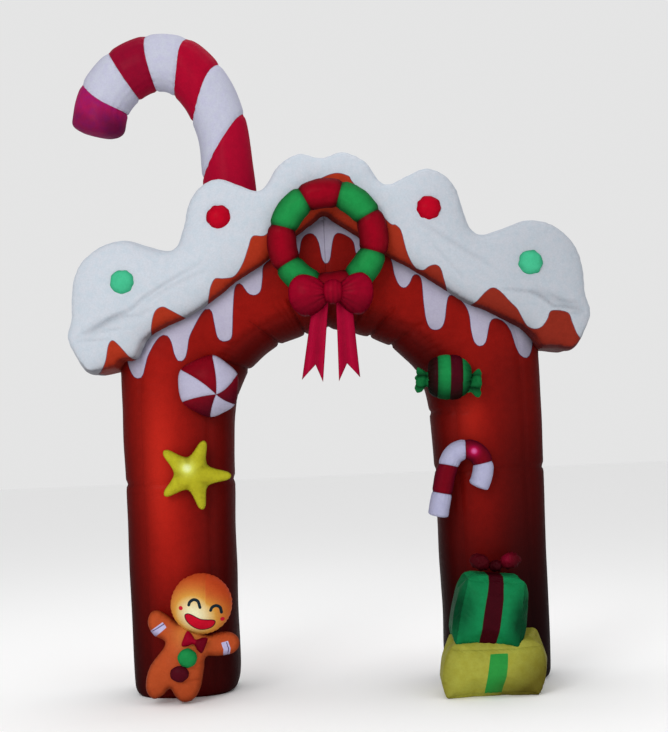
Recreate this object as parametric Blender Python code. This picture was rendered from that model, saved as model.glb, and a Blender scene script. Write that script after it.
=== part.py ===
"""Inflatable walk-through arch: a red tube of two legs and a crown, a gingerbread roof with
dripping icing, a candy cane on the roof, and the blown-up ornaments that are sewn to the front.

Metres, +Z up, the front faces -Y, +X is the viewer's right. The origin lies on the floor,
in the middle of the whole object. The forms are modelled about the arch's own middle plane
and set back at the end, because the ornaments and gifts stand out at the front only.
"""

import math

import bmesh
import bpy
import numpy as np
from mathutils import Matrix, Vector
from mathutils.bvhtree import BVHTree
from mathutils.geometry import delaunay_2d_cdt

# Driving dimensions
SET_BACK = 0.095  # from the origin back to the arch's middle plane
GAP = 0.0003  # left between a piece and the one that it is sewn to
SEAT = 0.012  # how deep a pad is pressed into what carries it

TUBE_HALF_DEPTH = 0.23
TUBE_ROUNDNESS = 2.7  # 2 is an ellipse, more is squarer
TUBE_SIDES = 24
LEG_SEAM = 0.007  # how far the cross seam draws the leg in
SEAM_HALF = 0.004  # half of the seam where two panels are sewn edge to edge

# One half of the tube from the floor to the crown: the inner and the outer edge of each
# section, and the share of the full depth it has there.
#   inner x, inner z, outer x, outer z, depth
TUBE_SECTIONS = (
    (0.508, 0.000, 0.932, 0.000, 0.87),
    (0.486, 0.022, 0.948, 0.022, 0.95),
    (0.472, 0.100, 0.954, 0.080, 1.00),
    (0.471, 0.320, 0.956, 0.320, 1.00),
    (0.469, 0.550, 0.958, 0.550, 1.00),
    (0.465, 0.800, 0.960, 0.800, 1.00),
    (0.463, 0.945, 0.960, 0.945, 1.00),
    (0.462 + LEG_SEAM, 0.960, 0.960 - LEG_SEAM, 0.960, 0.97),
    (0.462, 0.975, 0.961, 0.975, 1.00),
    (0.457, 1.120, 0.962, 1.120, 1.00),
    (0.450, 1.250, 0.962, 1.290, 1.00),
    (0.432, 1.345, 0.962, 1.450, 1.00),
    (0.393, 1.433, 0.958, 1.600, 1.00),
    (0.345, 1.487, 0.900, 1.725, 1.00),
    (0.285, 1.540, 0.760, 1.840, 1.00),
    (0.210, 1.580, 0.600, 1.940, 1.00),
    (0.140, 1.603, 0.420, 2.050, 1.00),
    (0.070, 1.621, 0.220, 2.160, 1.00),
    (0.000, 1.632, 0.000, 2.240, 1.00),
)

# The roof's outline, one half: three icing mounds, the eave's tip, and the lip over the tube.
ROOF_OUTLINE = (
    (0.000, 2.400),
    (0.100, 2.419),
    (0.200, 2.372),
    (0.262, 2.285),
    (0.305, 2.270),
    (0.385, 2.303),
    (0.470, 2.330),
    (0.550, 2.296),
    (0.607, 2.222),
    (0.640, 2.105),
    (0.672, 2.036),
    (0.722, 2.020),
    (0.805, 2.042),
    (0.900, 2.070),
    (1.000, 2.056),
    (1.088, 1.998),
    (1.138, 1.918),
    (1.156, 1.830),
    (1.160, 1.730),
    (1.180, 1.662),
    (1.160, 1.596),
    (1.112, 1.510),
    (1.065, 1.482),
    (0.990, 1.494),
    (0.925, 1.510),
    (0.830, 1.578),
    (0.720, 1.640),
    (0.600, 1.700),
    (0.420, 1.832),
    (0.280, 1.918),
    (0.140, 2.015),
    (0.000, 2.095),
)
ROOF_TILT_DEG = 0.4  # the roof sits a little askew, its right end high
ROOF_SHIFT = 0.016  # and a little to the right
ROOF_EDGE = 0.260  # half of the strip between the roof's front and back panels
ROOF_CROWN = 0.090  # how far each panel swells out over that strip
ROOF_BULGE = 0.024  # how far the strip itself swells out
ROOF_STEP = 0.068
# A fold runs up from each eave's tip, where the front panel is drawn in over the lip.
ROOF_FOLD = ((1.150, 1.668), (1.040, 1.700), (0.900, 1.765), (0.760, 1.850))
ROOF_FOLD_DEPTH = 0.022
ROOF_FOLD_WIDTH = 0.034
ROOF_FOLD_STEP = 0.048

# The large cane's middle line, from inside the roof round the crook to its tip
CANE_ROUTE = (
    (-0.424, 2.200),
    (-0.436, 2.420),
    (-0.455, 2.590),
    (-0.520, 2.760),
    (-0.635, 2.882),
    (-0.775, 2.900),
    (-0.905, 2.840),
    (-0.995, 2.730),
    (-1.034, 2.570),
)
CANE_TUBE = 0.127
CANE_STEP = 0.055
CANE_SIDES = 16
CANE_TIP_SHARES = (0.0, 0.86, 0.97)  # of the tube's radius, from the tip backwards

# Pads on the roof: name, x, z, colour
GUMDROPS = (
    ("gumdrop_outer_left", -0.900, 1.862, "green"),
    ("gumdrop_inner_left", -0.462, 2.130, "crimson"),
    ("gumdrop_inner_right", 0.464, 2.133, "crimson"),
    ("gumdrop_outer_right", 0.904, 1.870, "green"),
)
GUMDROP_RADII = (0.056, 0.046, 0.056)

WREATH_CENTRE = Vector((0.015, 2.011))
WREATH_RADIUS = 0.204
WREATH_TUBE = 0.064
WREATH_PANELS = 8
WREATH_SEAM = 0.006  # how far each seam draws the tube in
WREATH_FIRST_SEAM_DEG = 28  # anticlockwise from the top
WREATH_TOP_Y = -0.372
WREATH_BOTTOM_Y = -0.292
WREATH_STEPS = 40
WREATH_SIDES = 12

BOW_KNOT = (0.028, -0.405, 1.777)
BOW_KNOT_RADII = (0.048, 0.045, 0.062)
BOW_LOOP_PLACE = (0.028, -0.385, 1.772)
BOW_LOOP_CROWN = 0.062
BOW_LOOP_STEP = 0.034
# The right loop's outline from the knot: x, z
BOW_LOOP = (
    (0.012, 0.018),
    (0.060, 0.075),
    (0.118, 0.092),
    (0.158, 0.050),
    (0.160, -0.030),
    (0.120, -0.090),
    (0.062, -0.080),
    (0.012, -0.022),
)
# name, side, turn in degrees
BOW_LOOPS = (("bow_loop_left", -1, 2), ("bow_loop_right", 1, -3))
# The swallow tails: name, the top's left and right x, then the foot's left, notch and right
BOW_TAILS = (
    ("bow_tail_left", (-0.060, 0.006), (-0.124, 1.409), (-0.073, 1.471), (-0.036, 1.385)),
    ("bow_tail_right", (0.050, 0.112), (0.048, 1.388), (0.089, 1.464), (0.135, 1.397)),
)
TAIL_TOP_Z = 1.745
TAIL_Y = -0.372
TAIL_CLOTH = 0.003  # a double strip of cloth
TAIL_FOLD = 0.010
TAIL_ROWS = 9
TAIL_COLUMNS = 4

MINT_PLACE = (-0.545, -0.262, 1.393)
MINT_LEAN_DEG = -4
MINT_RADIUS = 0.128
MINT_PANELS = 6
MINT_CORNER = 0.025  # how much further each panel's middle reaches
MINT_CROWN = 0.085
MINT_POINTS = 24
MINT_STEP = 0.034

STAR_PLACE = (-0.622, -0.268, 0.997)
STAR_TIP = 0.155
STAR_WAIST = 0.083
STAR_BLUNT = 0.10  # half of the angle that a blunt tip takes up, in radians
STAR_FIRST_TIP_DEG = 67.7
STAR_CROWN = 0.070
STAR_STEP = 0.025

# The gingerbread figure's arms, legs and trunk: x, z
COOKIE_OUTLINE = (
    (-0.600, 0.300),
    (-0.535, 0.314),
    (-0.470, 0.302),
    (-0.452, 0.262),
    (-0.480, 0.219),
    (-0.545, 0.210),
    (-0.600, 0.205),
    (-0.612, 0.140),
    (-0.628, 0.062),
    (-0.660, 0.014),
    (-0.708, 0.004),
    (-0.740, 0.030),
    (-0.762, 0.062),
    (-0.795, 0.036),
    (-0.838, 0.024),
    (-0.868, 0.070),
    (-0.850, 0.160),
    (-0.778, 0.268),
    (-0.826, 0.312),
    (-0.842, 0.375),
    (-0.818, 0.421),
    (-0.770, 0.412),
    (-0.712, 0.352),
    (-0.660, 0.360),
)
COOKIE_CROWN = 0.078
COOKIE_STEP = 0.030
COOKIE_NECK_Y = -0.296
COOKIE_NECK_Z = 0.300
COOKIE_LEAN_DEG = 13  # its feet stand forward of its neck
COOKIE_HEAD = (-0.605, -0.325, 0.428)
COOKIE_HEAD_RADII = (0.140, 0.105, 0.133)
TIE_PLACE = (-0.641, 0.283)
TIE_OUT = 0.014  # how far its middle stands off the chest
TIE_TURN_DEG = -20
TIE_LEAN_DEG = 18
TIE_WING = (
    (0.000, 0.013),
    (0.034, 0.036),
    (0.054, 0.030),
    (0.054, -0.030),
    (0.034, -0.036),
    (0.000, -0.013),
)
TIE_CROWN = 0.022
TIE_STEP = 0.018
# name, x, z, radius, height, colour
COOKIE_BUTTONS = (
    ("cookie_button_upper", -0.671, 0.204, 0.043, 0.034, "green"),
    ("cookie_button_lower", -0.708, 0.136, 0.038, 0.028, "button"),
)

CANDY_PLACE = (0.523, -0.288, 1.382)
CANDY_TURN_DEG = -3
# The wrapped sweet's barrel and its right-hand twist: along, radius, depth of the frill
CANDY_BARREL = (
    (-0.088, 0.046, 0),
    (-0.080, 0.075, 0),
    (-0.045, 0.094, 0),
    (0.000, 0.100, 0),
    (0.045, 0.095, 0),
    (0.080, 0.076, 0),
    (0.088, 0.046, 0),
)
CANDY_TWIST = (
    (0.089, 0.030, 0.00),
    (0.104, 0.044, 0.10),
    (0.128, 0.066, 0.22),
    (0.140, 0.058, 0.22),
)
CANDY_FLAT = 0.82  # depth over height of the barrel
TWIST_FLAT = 0.55
TWIST_PLEATS = 5

SMALL_CANE_ROUTE = (
    (0.447, 0.745),
    (0.470, 0.845),
    (0.498, 0.962),
    (0.533, 1.036),
    (0.592, 1.058),
    (0.645, 1.034),
    (0.662, 0.976),
    (0.650, 0.895),
    (0.641, 0.862),
)
SMALL_CANE_TUBE = 0.044
SMALL_CANE_STEP = 0.024
SMALL_CANE_Y = -0.262

# The parcels: size over the seams, and how far each panel swells out between them
YELLOW_SIZE = Vector((0.437, 0.282, 0.250))
YELLOW_SWELL = 0.024
YELLOW_SLOPE = 0.034  # how much lower its top's front seam is, under the other parcel
YELLOW_X = 0.662
GREEN_SIZE = Vector((0.274, 0.262, 0.306))
GREEN_SWELL = 0.030
GREEN_TOP = 0.90  # its top's width over its foot's
GREEN_PLACE = (0.653, 0.362)
GREEN_TURN_DEG = -6
GIFT_BOW_Y = -0.362
GIFT_BOW_KNOT = (0.696, GIFT_BOW_Y, 0.545)
GIFT_BOW_KNOT_RADII = (0.030, 0.030, 0.026)
GIFT_BOW_RADII = (0.046, 0.036, 0.035)
# name, x, z, turn in degrees
GIFT_BOW_LOOPS = (("gift_bow_left", 0.628, 0.566, -25), ("gift_bow_right", 0.762, 0.572, 20))

COLOURS = {
    "red_body": (0.42, 0.035, 0.022),
    "icing": (0.66, 0.68, 0.76),
    "white": (0.62, 0.60, 0.74),
    "crimson": (0.36, 0.005, 0.020),
    "green": (0.020, 0.290, 0.090),
    "gift_green": (0.008, 0.210, 0.070),
    "yellow": (0.440, 0.400, 0.035),
    "ginger": (0.640, 0.130, 0.032),
    "button": (0.120, 0.005, 0.016),
}


def material(colour):
    """Coated nylon or polyester cloth in one of the object's colours."""
    made = bpy.data.materials.get(colour) or bpy.data.materials.new(colour)
    made.use_nodes = True
    shader = made.node_tree.nodes["Principled BSDF"]
    shader.inputs["Base Color"].default_value = (*COLOURS[colour], 1)
    shader.inputs["Roughness"].default_value = 0.5
    shader.inputs["Metallic"].default_value = 0
    return made


def add_piece(name, shape, colour):
    """Turn a bmesh into a named object of outward triangles, so that each cut meets it exactly."""
    bmesh.ops.triangulate(shape, faces=shape.faces)
    bmesh.ops.recalc_face_normals(shape, faces=shape.faces)
    mesh = bpy.data.meshes.new(name)
    shape.to_mesh(mesh)
    shape.free()
    mesh.shade_smooth()
    mesh.materials.append(material(colour))
    piece = bpy.data.objects.new(name, mesh)
    bpy.context.scene.collection.objects.link(piece)
    return piece


def grown_copy(support):
    """A copy of a piece that stands GAP proud of it all round."""
    copy = support.copy()
    copy.data = support.data.copy()
    shape = bmesh.new()
    shape.from_mesh(copy.data)
    shape.normal_update()
    shifts = [vert.normal * GAP for vert in shape.verts]
    for vert, shift in zip(shape.verts, shifts):
        vert.co += shift
    shape.to_mesh(copy.data)
    shape.free()
    bpy.context.scene.collection.objects.link(copy)
    return copy


def seat(piece, *supports):
    """Cut a piece back from what carries it, so that it bears on it with a hair's gap."""
    for support in supports:
        cutter = grown_copy(support)
        cut = piece.modifiers.new("seat", "BOOLEAN")
        cut.operation = "DIFFERENCE"
        cut.solver = "EXACT"
        cut.object = cutter
        bpy.context.view_layer.update()
        seen = piece.evaluated_get(bpy.context.evaluated_depsgraph_get())
        mesh = bpy.data.meshes.new_from_object(seen)
        piece.modifiers.clear()
        old = piece.data
        piece.data = mesh
        mesh.name = piece.name
        bpy.data.meshes.remove(old)
        bpy.data.objects.remove(cutter)
    return piece


def front_of(x, z, *pieces):
    """How far forward the foremost of some pieces reaches at a place seen from the front."""
    reach = 0.0
    for piece in pieces:
        shape = bmesh.new()
        shape.from_mesh(piece.data)
        spot = BVHTree.FromBMesh(shape).ray_cast(Vector((x, -2, z)), Vector((0, 1, 0)))[0]
        shape.free()
        if spot:
            reach = min(reach, spot.y)
    return reach


def smooth_line(points, step, closed=False):
    """Points at an even step along a smooth curve through the given ones."""
    points = [Vector(point) for point in points]
    count = len(points)
    dense = []
    for i in range(count if closed else count - 1):
        if closed:
            before, start, end, after = (points[(i + k) % count] for k in (-1, 0, 1, 2))
        else:
            start, end = points[i], points[i + 1]
            before = points[i - 1] if i else start * 2 - end
            after = points[i + 2] if i + 2 < count else end * 2 - start
        for k in range(16):
            t = k / 16
            dense.append(
                0.5
                * (
                    start * 2
                    + (end - before) * t
                    + (before * 2 - start * 5 + end * 4 - after) * t**2
                    + (start * 3 - before - end * 3 + after) * t**3
                )
            )
    dense.append(dense[0].copy() if closed else points[-1])
    walked = [0.0]
    for a, b in zip(dense, dense[1:]):
        walked.append(walked[-1] + (b - a).length)
    spans = max(3, round(walked[-1] / step))
    line, k = [], 0
    for i in range(spans if closed else spans + 1):
        goal = walked[-1] * i / spans
        while walked[k + 1] < goal and k + 2 < len(walked):
            k += 1
        share = (goal - walked[k]) / (walked[k + 1] - walked[k])
        line.append(dense[k].lerp(dense[k + 1], share))
    return line


def clearance(point, outline):
    """How far a point lies from an outline's own points; below 0 outside the outline."""
    near = min((point - other).length for other in outline)
    crossings = 0
    for a, b in zip(outline, outline[1:] + outline[:1]):
        if (a.y > point.y) != (b.y > point.y):
            reach = a.x + (point.y - a.y) / (b.y - a.y) * (b.x - a.x)
            crossings += reach > point.x
    return near if crossings % 2 else -near


def panel_net(outline, step, folds=()):
    """An even net of triangles over an outline: its own points, then any folds, then the rest."""
    points = list(outline) + [point for point, depth in folds]
    low_x, high_x = min(p.x for p in outline), max(p.x for p in outline)
    low_y, high_y = min(p.y for p in outline), max(p.y for p in outline)
    row_step = step * math.sqrt(0.75)
    fixed = list(points)
    for row in range(int((high_y - low_y) / row_step) + 1):
        for column in range(int((high_x - low_x) / step) + 2):
            x = low_x + (column + 0.5 * (row % 2)) * step
            point = Vector((x, low_y + row * row_step))
            apart = all((point - other).length > 0.62 * step for other in fixed)
            if apart and clearance(point, outline) > 0:
                points.append(point)
    count = len(outline)
    rim = [(i, (i + 1) % count) for i in range(count)]
    net = delaunay_2d_cdt(points, rim, [], 1, 1e-6)
    return net[0], net[2]


def crown_of(points, faces, rim_count):
    """How high air lifts each point of a panel held at its rim, as a share of the highest."""
    total = len(points)
    stiffness = np.zeros((total, total))
    load = np.zeros(total)
    for a, b, c in faces:
        for i, j, k in ((a, b, c), (b, c, a), (c, a, b)):
            u, v = points[i] - points[k], points[j] - points[k]
            twice_area = abs(u.cross(v))
            pull = 0.5 * u.dot(v) / twice_area
            stiffness[i, j] -= pull
            stiffness[j, i] -= pull
            stiffness[i, i] += pull
            stiffness[j, j] += pull
            load[k] += twice_area / 6
    lift = np.zeros(total)
    free = np.arange(rim_count, total)
    lift[free] = np.linalg.solve(stiffness[np.ix_(free, free)], load[free])
    return np.sqrt(lift / lift.max())


def sides_of(outline):
    """The outward direction at each point of an outline."""
    following = outline[1:] + outline[:1]
    return [
        Vector((after.y - before.y, before.x - after.x)).normalized()
        for before, after in zip(outline[-1:] + outline[:-1], following)
    ]


def pillow(outline, edge, crown, step, bulge=0.0, folds=(), fold_depth=0.0):
    """A blown-up form of two panels, sewn to each other or to a strip 2 * edge wide that swells
    out to the outline. Both panels are drawn in along the middle of three rows of fold points."""
    seams = [point - side * bulge for point, side in zip(outline, sides_of(outline))]
    folds = [(point, depth) for point, depth in folds if clearance(point, seams) > step / 3]
    points, faces = panel_net(seams, step, folds)
    heights = edge + crown * crown_of(points, faces, len(outline))
    count = len(outline)
    for k, (point, depth) in enumerate(folds):
        heights[count + k] -= fold_depth * depth
    shape = bmesh.new()
    front = [shape.verts.new((p.x, -h, p.y)) for p, h in zip(points, heights)]
    rims = [front[:count]]
    for share in (-0.55, 0.55) if bulge else ():
        ring = [seam.lerp(point, 1 - share**4) for seam, point in zip(seams, outline)]
        rims.append([shape.verts.new((p.x, share * edge, p.y)) for p in ring])
    rims.append([shape.verts.new((p.x, edge, p.y)) for p in seams])
    inner = [shape.verts.new((p.x, h, p.y)) for p, h in zip(points[count:], heights[count:])]
    back = rims[-1] + inner
    for face in faces:
        shape.faces.new([front[i] for i in face])
        shape.faces.new([back[i] for i in reversed(face)])
    for near, far in zip(rims, rims[1:]):
        for i in range(count):
            k = (i + 1) % count
            shape.faces.new((near[i], near[k], far[k], far[i]))
    return shape


def inside_left(outline):
    """The outline walked so that its inside lies on the left."""
    area = sum(a.cross(b) for a, b in zip(outline, outline[1:] + outline[:1]))
    return outline if area > 0 else outline[::-1]


def lofted(rings, closed=False):
    """Skin a row of rings of points, with a flat end or a pole where it stops."""
    shape = bmesh.new()
    rows = [[shape.verts.new(point) for point in ring] for ring in rings]
    pairs = list(zip(rows, rows[1:]))
    if closed:
        pairs.append((rows[-1], rows[0]))
    for near, far in pairs:
        longest = max(len(near), len(far))
        for i in range(longest):
            k = (i + 1) % longest
            corners = [near[i % len(near)], near[k % len(near)], far[k % len(far)], far[i % len(far)]]
            shape.faces.new(list(dict.fromkeys(corners)))
    if not closed:
        for end in (rows[0], rows[-1]):
            if len(end) > 2:
                shape.faces.new(end)
    return shape


def swept(centres, radii, sides):
    """A round tube along a line in the front plane; a radius of 0 closes it at a pole."""
    rings = []
    for i, (centre, radius) in enumerate(zip(centres, radii)):
        along = centres[min(i + 1, len(centres) - 1)] - centres[max(i - 1, 0)]
        side = Vector((along.y, -along.x)).normalized()
        ring = []
        for turn in range(sides if radius else 1):
            angle = math.tau * turn / sides
            spot = centre + side * radius * math.cos(angle)
            ring.append((spot.x, radius * math.sin(angle), spot.y))
        rings.append(ring)
    return lofted(rings)


def round_ends(line, radius, step):
    """A tube's radii along a line, with both of its ends rounded off."""
    walked = [0.0]
    for a, b in zip(line, line[1:]):
        walked.append(walked[-1] + (b - a).length)
    radii = []
    for walk in walked:
        near = min(walk, walked[-1] - walk, step)
        radii.append(radius * math.sqrt(max(0.0, 1 - (1 - near / step) ** 2)))
    return radii


def puffed_box(size, swell, top=1.0, slope=0.0):
    """A box of six sewn panels, each swollen in its middle and drawn in at its corners. Its top
    may taper, and slope down to the front."""
    shape = bmesh.new()
    bmesh.ops.create_cube(shape, size=2)
    bmesh.ops.subdivide_edges(shape, edges=shape.edges, cuts=5, use_grid_fill=True)
    for vert in shape.verts:
        x, y, z = vert.co
        crown_x, crown_y, crown_z = 1 - x * x, 1 - y * y, 1 - z * z
        push = Vector((x * crown_y * crown_z, y * crown_x * crown_z, z * crown_x * crown_y))
        taper = 1 + (top - 1) * (z + 1) / 2
        corner = 1 - 0.05 * abs(x * y * z)
        flat = Vector((x * size.x * taper, y * size.y, z * size.z)) / 2
        flat.z -= slope * (1 - y) / 2 * (1 + z) / 2
        vert.co = flat * corner + push * swell
    return shape


def ball(centre, radii, rings=8, sides=14):
    """A pad of segments that meet at its front and back."""
    shape = bmesh.new()
    bmesh.ops.create_uvsphere(shape, u_segments=sides, v_segments=rings, radius=1)
    quarter = Matrix.Rotation(math.pi / 2, 3, "X")
    bmesh.ops.rotate(shape, cent=(0, 0, 0), matrix=quarter, verts=shape.verts)
    bmesh.ops.scale(shape, vec=radii, verts=shape.verts)
    bmesh.ops.translate(shape, vec=centre, verts=shape.verts)
    return shape


def placed(shape, centre, turn_deg=0.0, lean_deg=0.0):
    """Turn a form anticlockwise in the front plane, lean its top back, and put it in place."""
    turn = Matrix.Rotation(-math.radians(turn_deg), 4, "Y")
    lean = Matrix.Rotation(-math.radians(lean_deg), 4, "X")
    bmesh.ops.transform(shape, matrix=Matrix.Translation(centre) @ lean @ turn, verts=shape.verts)
    return shape


def soft_square(value):
    """A sine or cosine drawn out towards the corners of a rounded square."""
    return math.copysign(abs(value) ** (2 / TUBE_ROUNDNESS), value)


def tube_ring(inner_x, inner_z, outer_x, outer_z, depth):
    """One section of the tube, a soft square between its inner and its outer edge."""
    inner, outer = Vector((inner_x, inner_z)), Vector((outer_x, outer_z))
    ring = []
    for i in range(TUBE_SIDES):
        angle = math.tau * i / TUBE_SIDES
        spot = inner.lerp(outer, (1 + soft_square(math.cos(angle))) / 2)
        ring.append((spot.x, soft_square(math.sin(angle)) * TUBE_HALF_DEPTH * depth, spot.y))
    return ring


def make_tube():
    """The right leg and half of the crown, then the same for the left in the other order."""
    right = [tube_ring(*section) for section in TUBE_SECTIONS]
    left = [[(-x, y, z) for x, y, z in ring] for ring in right[-2::-1]]
    return add_piece("arch_tube", lofted(right + left), "red_body")


def make_roof(tube):
    half = list(ROOF_OUTLINE)
    outline = half + [(-x, z) for x, z in half[-2:0:-1]]
    outline = inside_left(smooth_line(outline, ROOF_STEP, closed=True))
    line = smooth_line(ROOF_FOLD, ROOF_FOLD_STEP)
    folds = []
    for side in (-1, 1):
        for i, point in enumerate(line):
            along = line[min(i + 1, len(line) - 1)] - line[max(i - 1, 0)]
            across = Vector((along.y, -along.x)).normalized() * ROOF_FOLD_WIDTH
            depth = math.sin(math.pi * (i + 1) / (len(line) + 1))
            for shift, share in ((-1, 0), (0, depth), (1, 0)):
                spot = point + across * shift
                folds.append((Vector((spot.x * side, spot.y)), share))
    shape = pillow(outline, ROOF_EDGE, ROOF_CROWN, ROOF_STEP, ROOF_BULGE, folds, ROOF_FOLD_DEPTH)
    placed(shape, (ROOF_SHIFT, 0, 0), ROOF_TILT_DEG)
    return seat(add_piece("roof", shape, "icing"), tube)


def make_large_cane(roof):
    line = smooth_line(CANE_ROUTE, CANE_STEP)
    radii = [CANE_TUBE] * len(line)
    for back, share in enumerate(CANE_TIP_SHARES):
        radii[-1 - back] = CANE_TUBE * share
    line[-2] = line[-2].lerp(line[-1], 0.55)
    seat(add_piece("cane_large", swept(line, radii, CANE_SIDES), "crimson"), roof)


def make_gumdrops(roof):
    for name, x, z, colour in GUMDROPS:
        y = front_of(x, z, roof) + SEAT
        seat(add_piece(name, ball((x, y, z), GUMDROP_RADII), colour), roof)


def make_wreath(roof, tube):
    """A ring of sewn panels; its lower side lies back against the tube."""
    panel = math.tau / WREATH_PANELS
    rings = []
    for i in range(WREATH_STEPS):
        turn = math.tau * i / WREATH_STEPS
        past_seam = (turn - math.radians(WREATH_FIRST_SEAM_DEG)) % panel
        from_seam = min(past_seam, panel - past_seam) / (panel / 2)
        tube_radius = WREATH_TUBE - WREATH_SEAM * (1 - from_seam) ** 2
        out = Vector((-math.sin(turn), math.cos(turn)))
        centre = WREATH_CENTRE + out * WREATH_RADIUS
        y = WREATH_BOTTOM_Y + (WREATH_TOP_Y - WREATH_BOTTOM_Y) * (1 + math.cos(turn)) / 2
        ring = []
        for k in range(WREATH_SIDES):
            angle = math.tau * k / WREATH_SIDES
            spot = centre + out * tube_radius * math.cos(angle)
            ring.append((spot.x, y + tube_radius * math.sin(angle), spot.y))
        rings.append(ring)
    return seat(add_piece("wreath", lofted(rings, closed=True), "green"), roof, tube)


def make_bow(wreath):
    """Two loops and a knot on the wreath's foot, and two flat tails that hang from them."""
    knot = seat(add_piece("bow_knot", ball(BOW_KNOT, BOW_KNOT_RADII), "crimson"), wreath)
    loops = []
    for name, side, turn in BOW_LOOPS:
        outline = smooth_line([(x * side, z) for x, z in BOW_LOOP], BOW_LOOP_STEP, closed=True)
        shape = pillow(inside_left(outline), SEAM_HALF, BOW_LOOP_CROWN, BOW_LOOP_STEP)
        placed(shape, BOW_LOOP_PLACE, turn)
        loops.append(seat(add_piece(name, shape, "crimson"), knot, wreath))
    for name, top, left, notch, right in BOW_TAILS:
        shape = make_tail(top, Vector(left), Vector(notch), Vector(right))
        seat(add_piece(name, shape, "crimson"), knot, *loops)


def make_tail(top, left, notch, right):
    """A strip of cloth that widens to a swallow tail, with a soft fold down its length."""
    shape = bmesh.new()
    near, far = [], []
    for grid, side in ((near, -0.5), (far, 0.5)):
        for row in range(TAIL_ROWS + 1):
            down = row / TAIL_ROWS
            line = []
            for column in range(TAIL_COLUMNS + 1):
                across = column / TAIL_COLUMNS
                foot = left.lerp(notch, 2 * across) if across < 0.5 else notch.lerp(right, 2 * across - 1)
                start = Vector((top[0] + (top[1] - top[0]) * across, TAIL_TOP_Z))
                spot = start.lerp(foot, down)
                wave = math.sin(math.pi * (0.2 + 1.5 * across)) * (0.3 + 0.7 * down)
                y = TAIL_Y - TAIL_FOLD * wave + side * TAIL_CLOTH
                line.append(shape.verts.new((spot.x, y, spot.y)))
            grid.append(line)
    for grid in (near, far):
        for upper, lower in zip(grid, grid[1:]):
            for k in range(TAIL_COLUMNS):
                shape.faces.new((upper[k], upper[k + 1], lower[k + 1], lower[k]))
    rim = boundary_walk(near), boundary_walk(far)
    for i in range(len(rim[0])):
        k = (i + 1) % len(rim[0])
        shape.faces.new((rim[0][i], rim[0][k], rim[1][k], rim[1][i]))
    return shape


def boundary_walk(grid):
    """The points round the edge of a grid of rows, in order."""
    right = [row[-1] for row in grid[1:-1]]
    left = [row[0] for row in grid[-2:0:-1]]
    return grid[0] + right + grid[-1][::-1] + left


def make_mint(tube):
    """A round swirl sweet, a little six-sided where its panels meet."""
    outline = []
    for i in range(MINT_POINTS):
        angle = math.tau * i / MINT_POINTS
        radius = MINT_RADIUS * (1 + MINT_CORNER * math.cos(MINT_PANELS * angle))
        outline.append(Vector((radius * math.cos(angle), radius * math.sin(angle))))
    shape = pillow(outline, SEAM_HALF, MINT_CROWN, MINT_STEP)
    placed(shape, MINT_PLACE, 0, MINT_LEAN_DEG)
    seat(add_piece("mint_candy", shape, "white"), tube)


def make_star(tube):
    corners = []
    for i in range(5):
        tip = math.radians(STAR_FIRST_TIP_DEG + 72 * i)
        for angle, radius in (
            (tip - STAR_BLUNT, STAR_TIP),
            (tip + STAR_BLUNT, STAR_TIP),
            (tip + math.pi / 5, STAR_WAIST),
        ):
            corners.append((radius * math.cos(angle), radius * math.sin(angle)))
    outline = inside_left(smooth_line(corners, STAR_STEP, closed=True))
    shape = placed(pillow(outline, SEAM_HALF, STAR_CROWN, STAR_STEP), STAR_PLACE)
    seat(add_piece("star", shape, "yellow"), tube)


def make_cookie(tube):
    """The gingerbread figure: a trunk with arms and legs, a round head, a bow tie and two
    buttons. It leans against the left leg with its feet just off the floor."""
    outline = [(x, z - COOKIE_NECK_Z) for x, z in COOKIE_OUTLINE]
    outline = inside_left(smooth_line(outline, COOKIE_STEP, closed=True))
    shape = pillow(outline, SEAM_HALF, COOKIE_CROWN, COOKIE_STEP)
    placed(shape, (0, COOKIE_NECK_Y, COOKIE_NECK_Z), 0, COOKIE_LEAN_DEG)
    trunk = seat(add_piece("cookie_body", shape, "ginger"), tube)
    shape = ball(COOKIE_HEAD, COOKIE_HEAD_RADII, 10, 18)
    head = seat(add_piece("cookie_head", shape, "ginger"), tube, trunk)
    outline = list(TIE_WING) + [(-x, z) for x, z in TIE_WING[::-1]]
    outline = inside_left(smooth_line(outline, TIE_STEP, closed=True))
    shape = pillow(outline, SEAM_HALF, TIE_CROWN, TIE_STEP)
    x, z = TIE_PLACE
    placed(shape, (x, front_of(x, z, trunk) - TIE_OUT, z), TIE_TURN_DEG, TIE_LEAN_DEG)
    above = seat(add_piece("cookie_bow_tie", shape, "crimson"), trunk, head)
    for name, x, z, radius, height, colour in COOKIE_BUTTONS:
        shape = ball((x, front_of(x, z, trunk), z), (radius, height, radius), 6, 12)
        above = seat(add_piece(name, shape, colour), trunk, above)


def turned(profile, sides, flat, pleats=0, side=1):
    """A form turned about the X axis, flattened from front to back, with a pleated rim."""
    rings = []
    for along, radius, frill in profile:
        ring = []
        for k in range(sides):
            angle = math.tau * k / sides
            reach = radius * (1 + frill * math.cos(pleats * angle))
            ring.append((along * side, flat * reach * math.cos(angle), reach * math.sin(angle)))
        rings.append(ring)
    return lofted(rings)


def make_wrapped_candy(tube):
    """A barrel of sweet in its wrapper, with a twisted fan of cloth at each end."""
    shape = placed(turned(CANDY_BARREL, 16, CANDY_FLAT), CANDY_PLACE, CANDY_TURN_DEG)
    barrel = seat(add_piece("wrapped_candy", shape, "green"), tube)
    for name, side in (("candy_twist_left", -1), ("candy_twist_right", 1)):
        shape = turned(CANDY_TWIST, 20, TWIST_FLAT, TWIST_PLEATS, side)
        placed(shape, CANDY_PLACE, CANDY_TURN_DEG)
        seat(add_piece(name, shape, "green"), tube, barrel)


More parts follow.
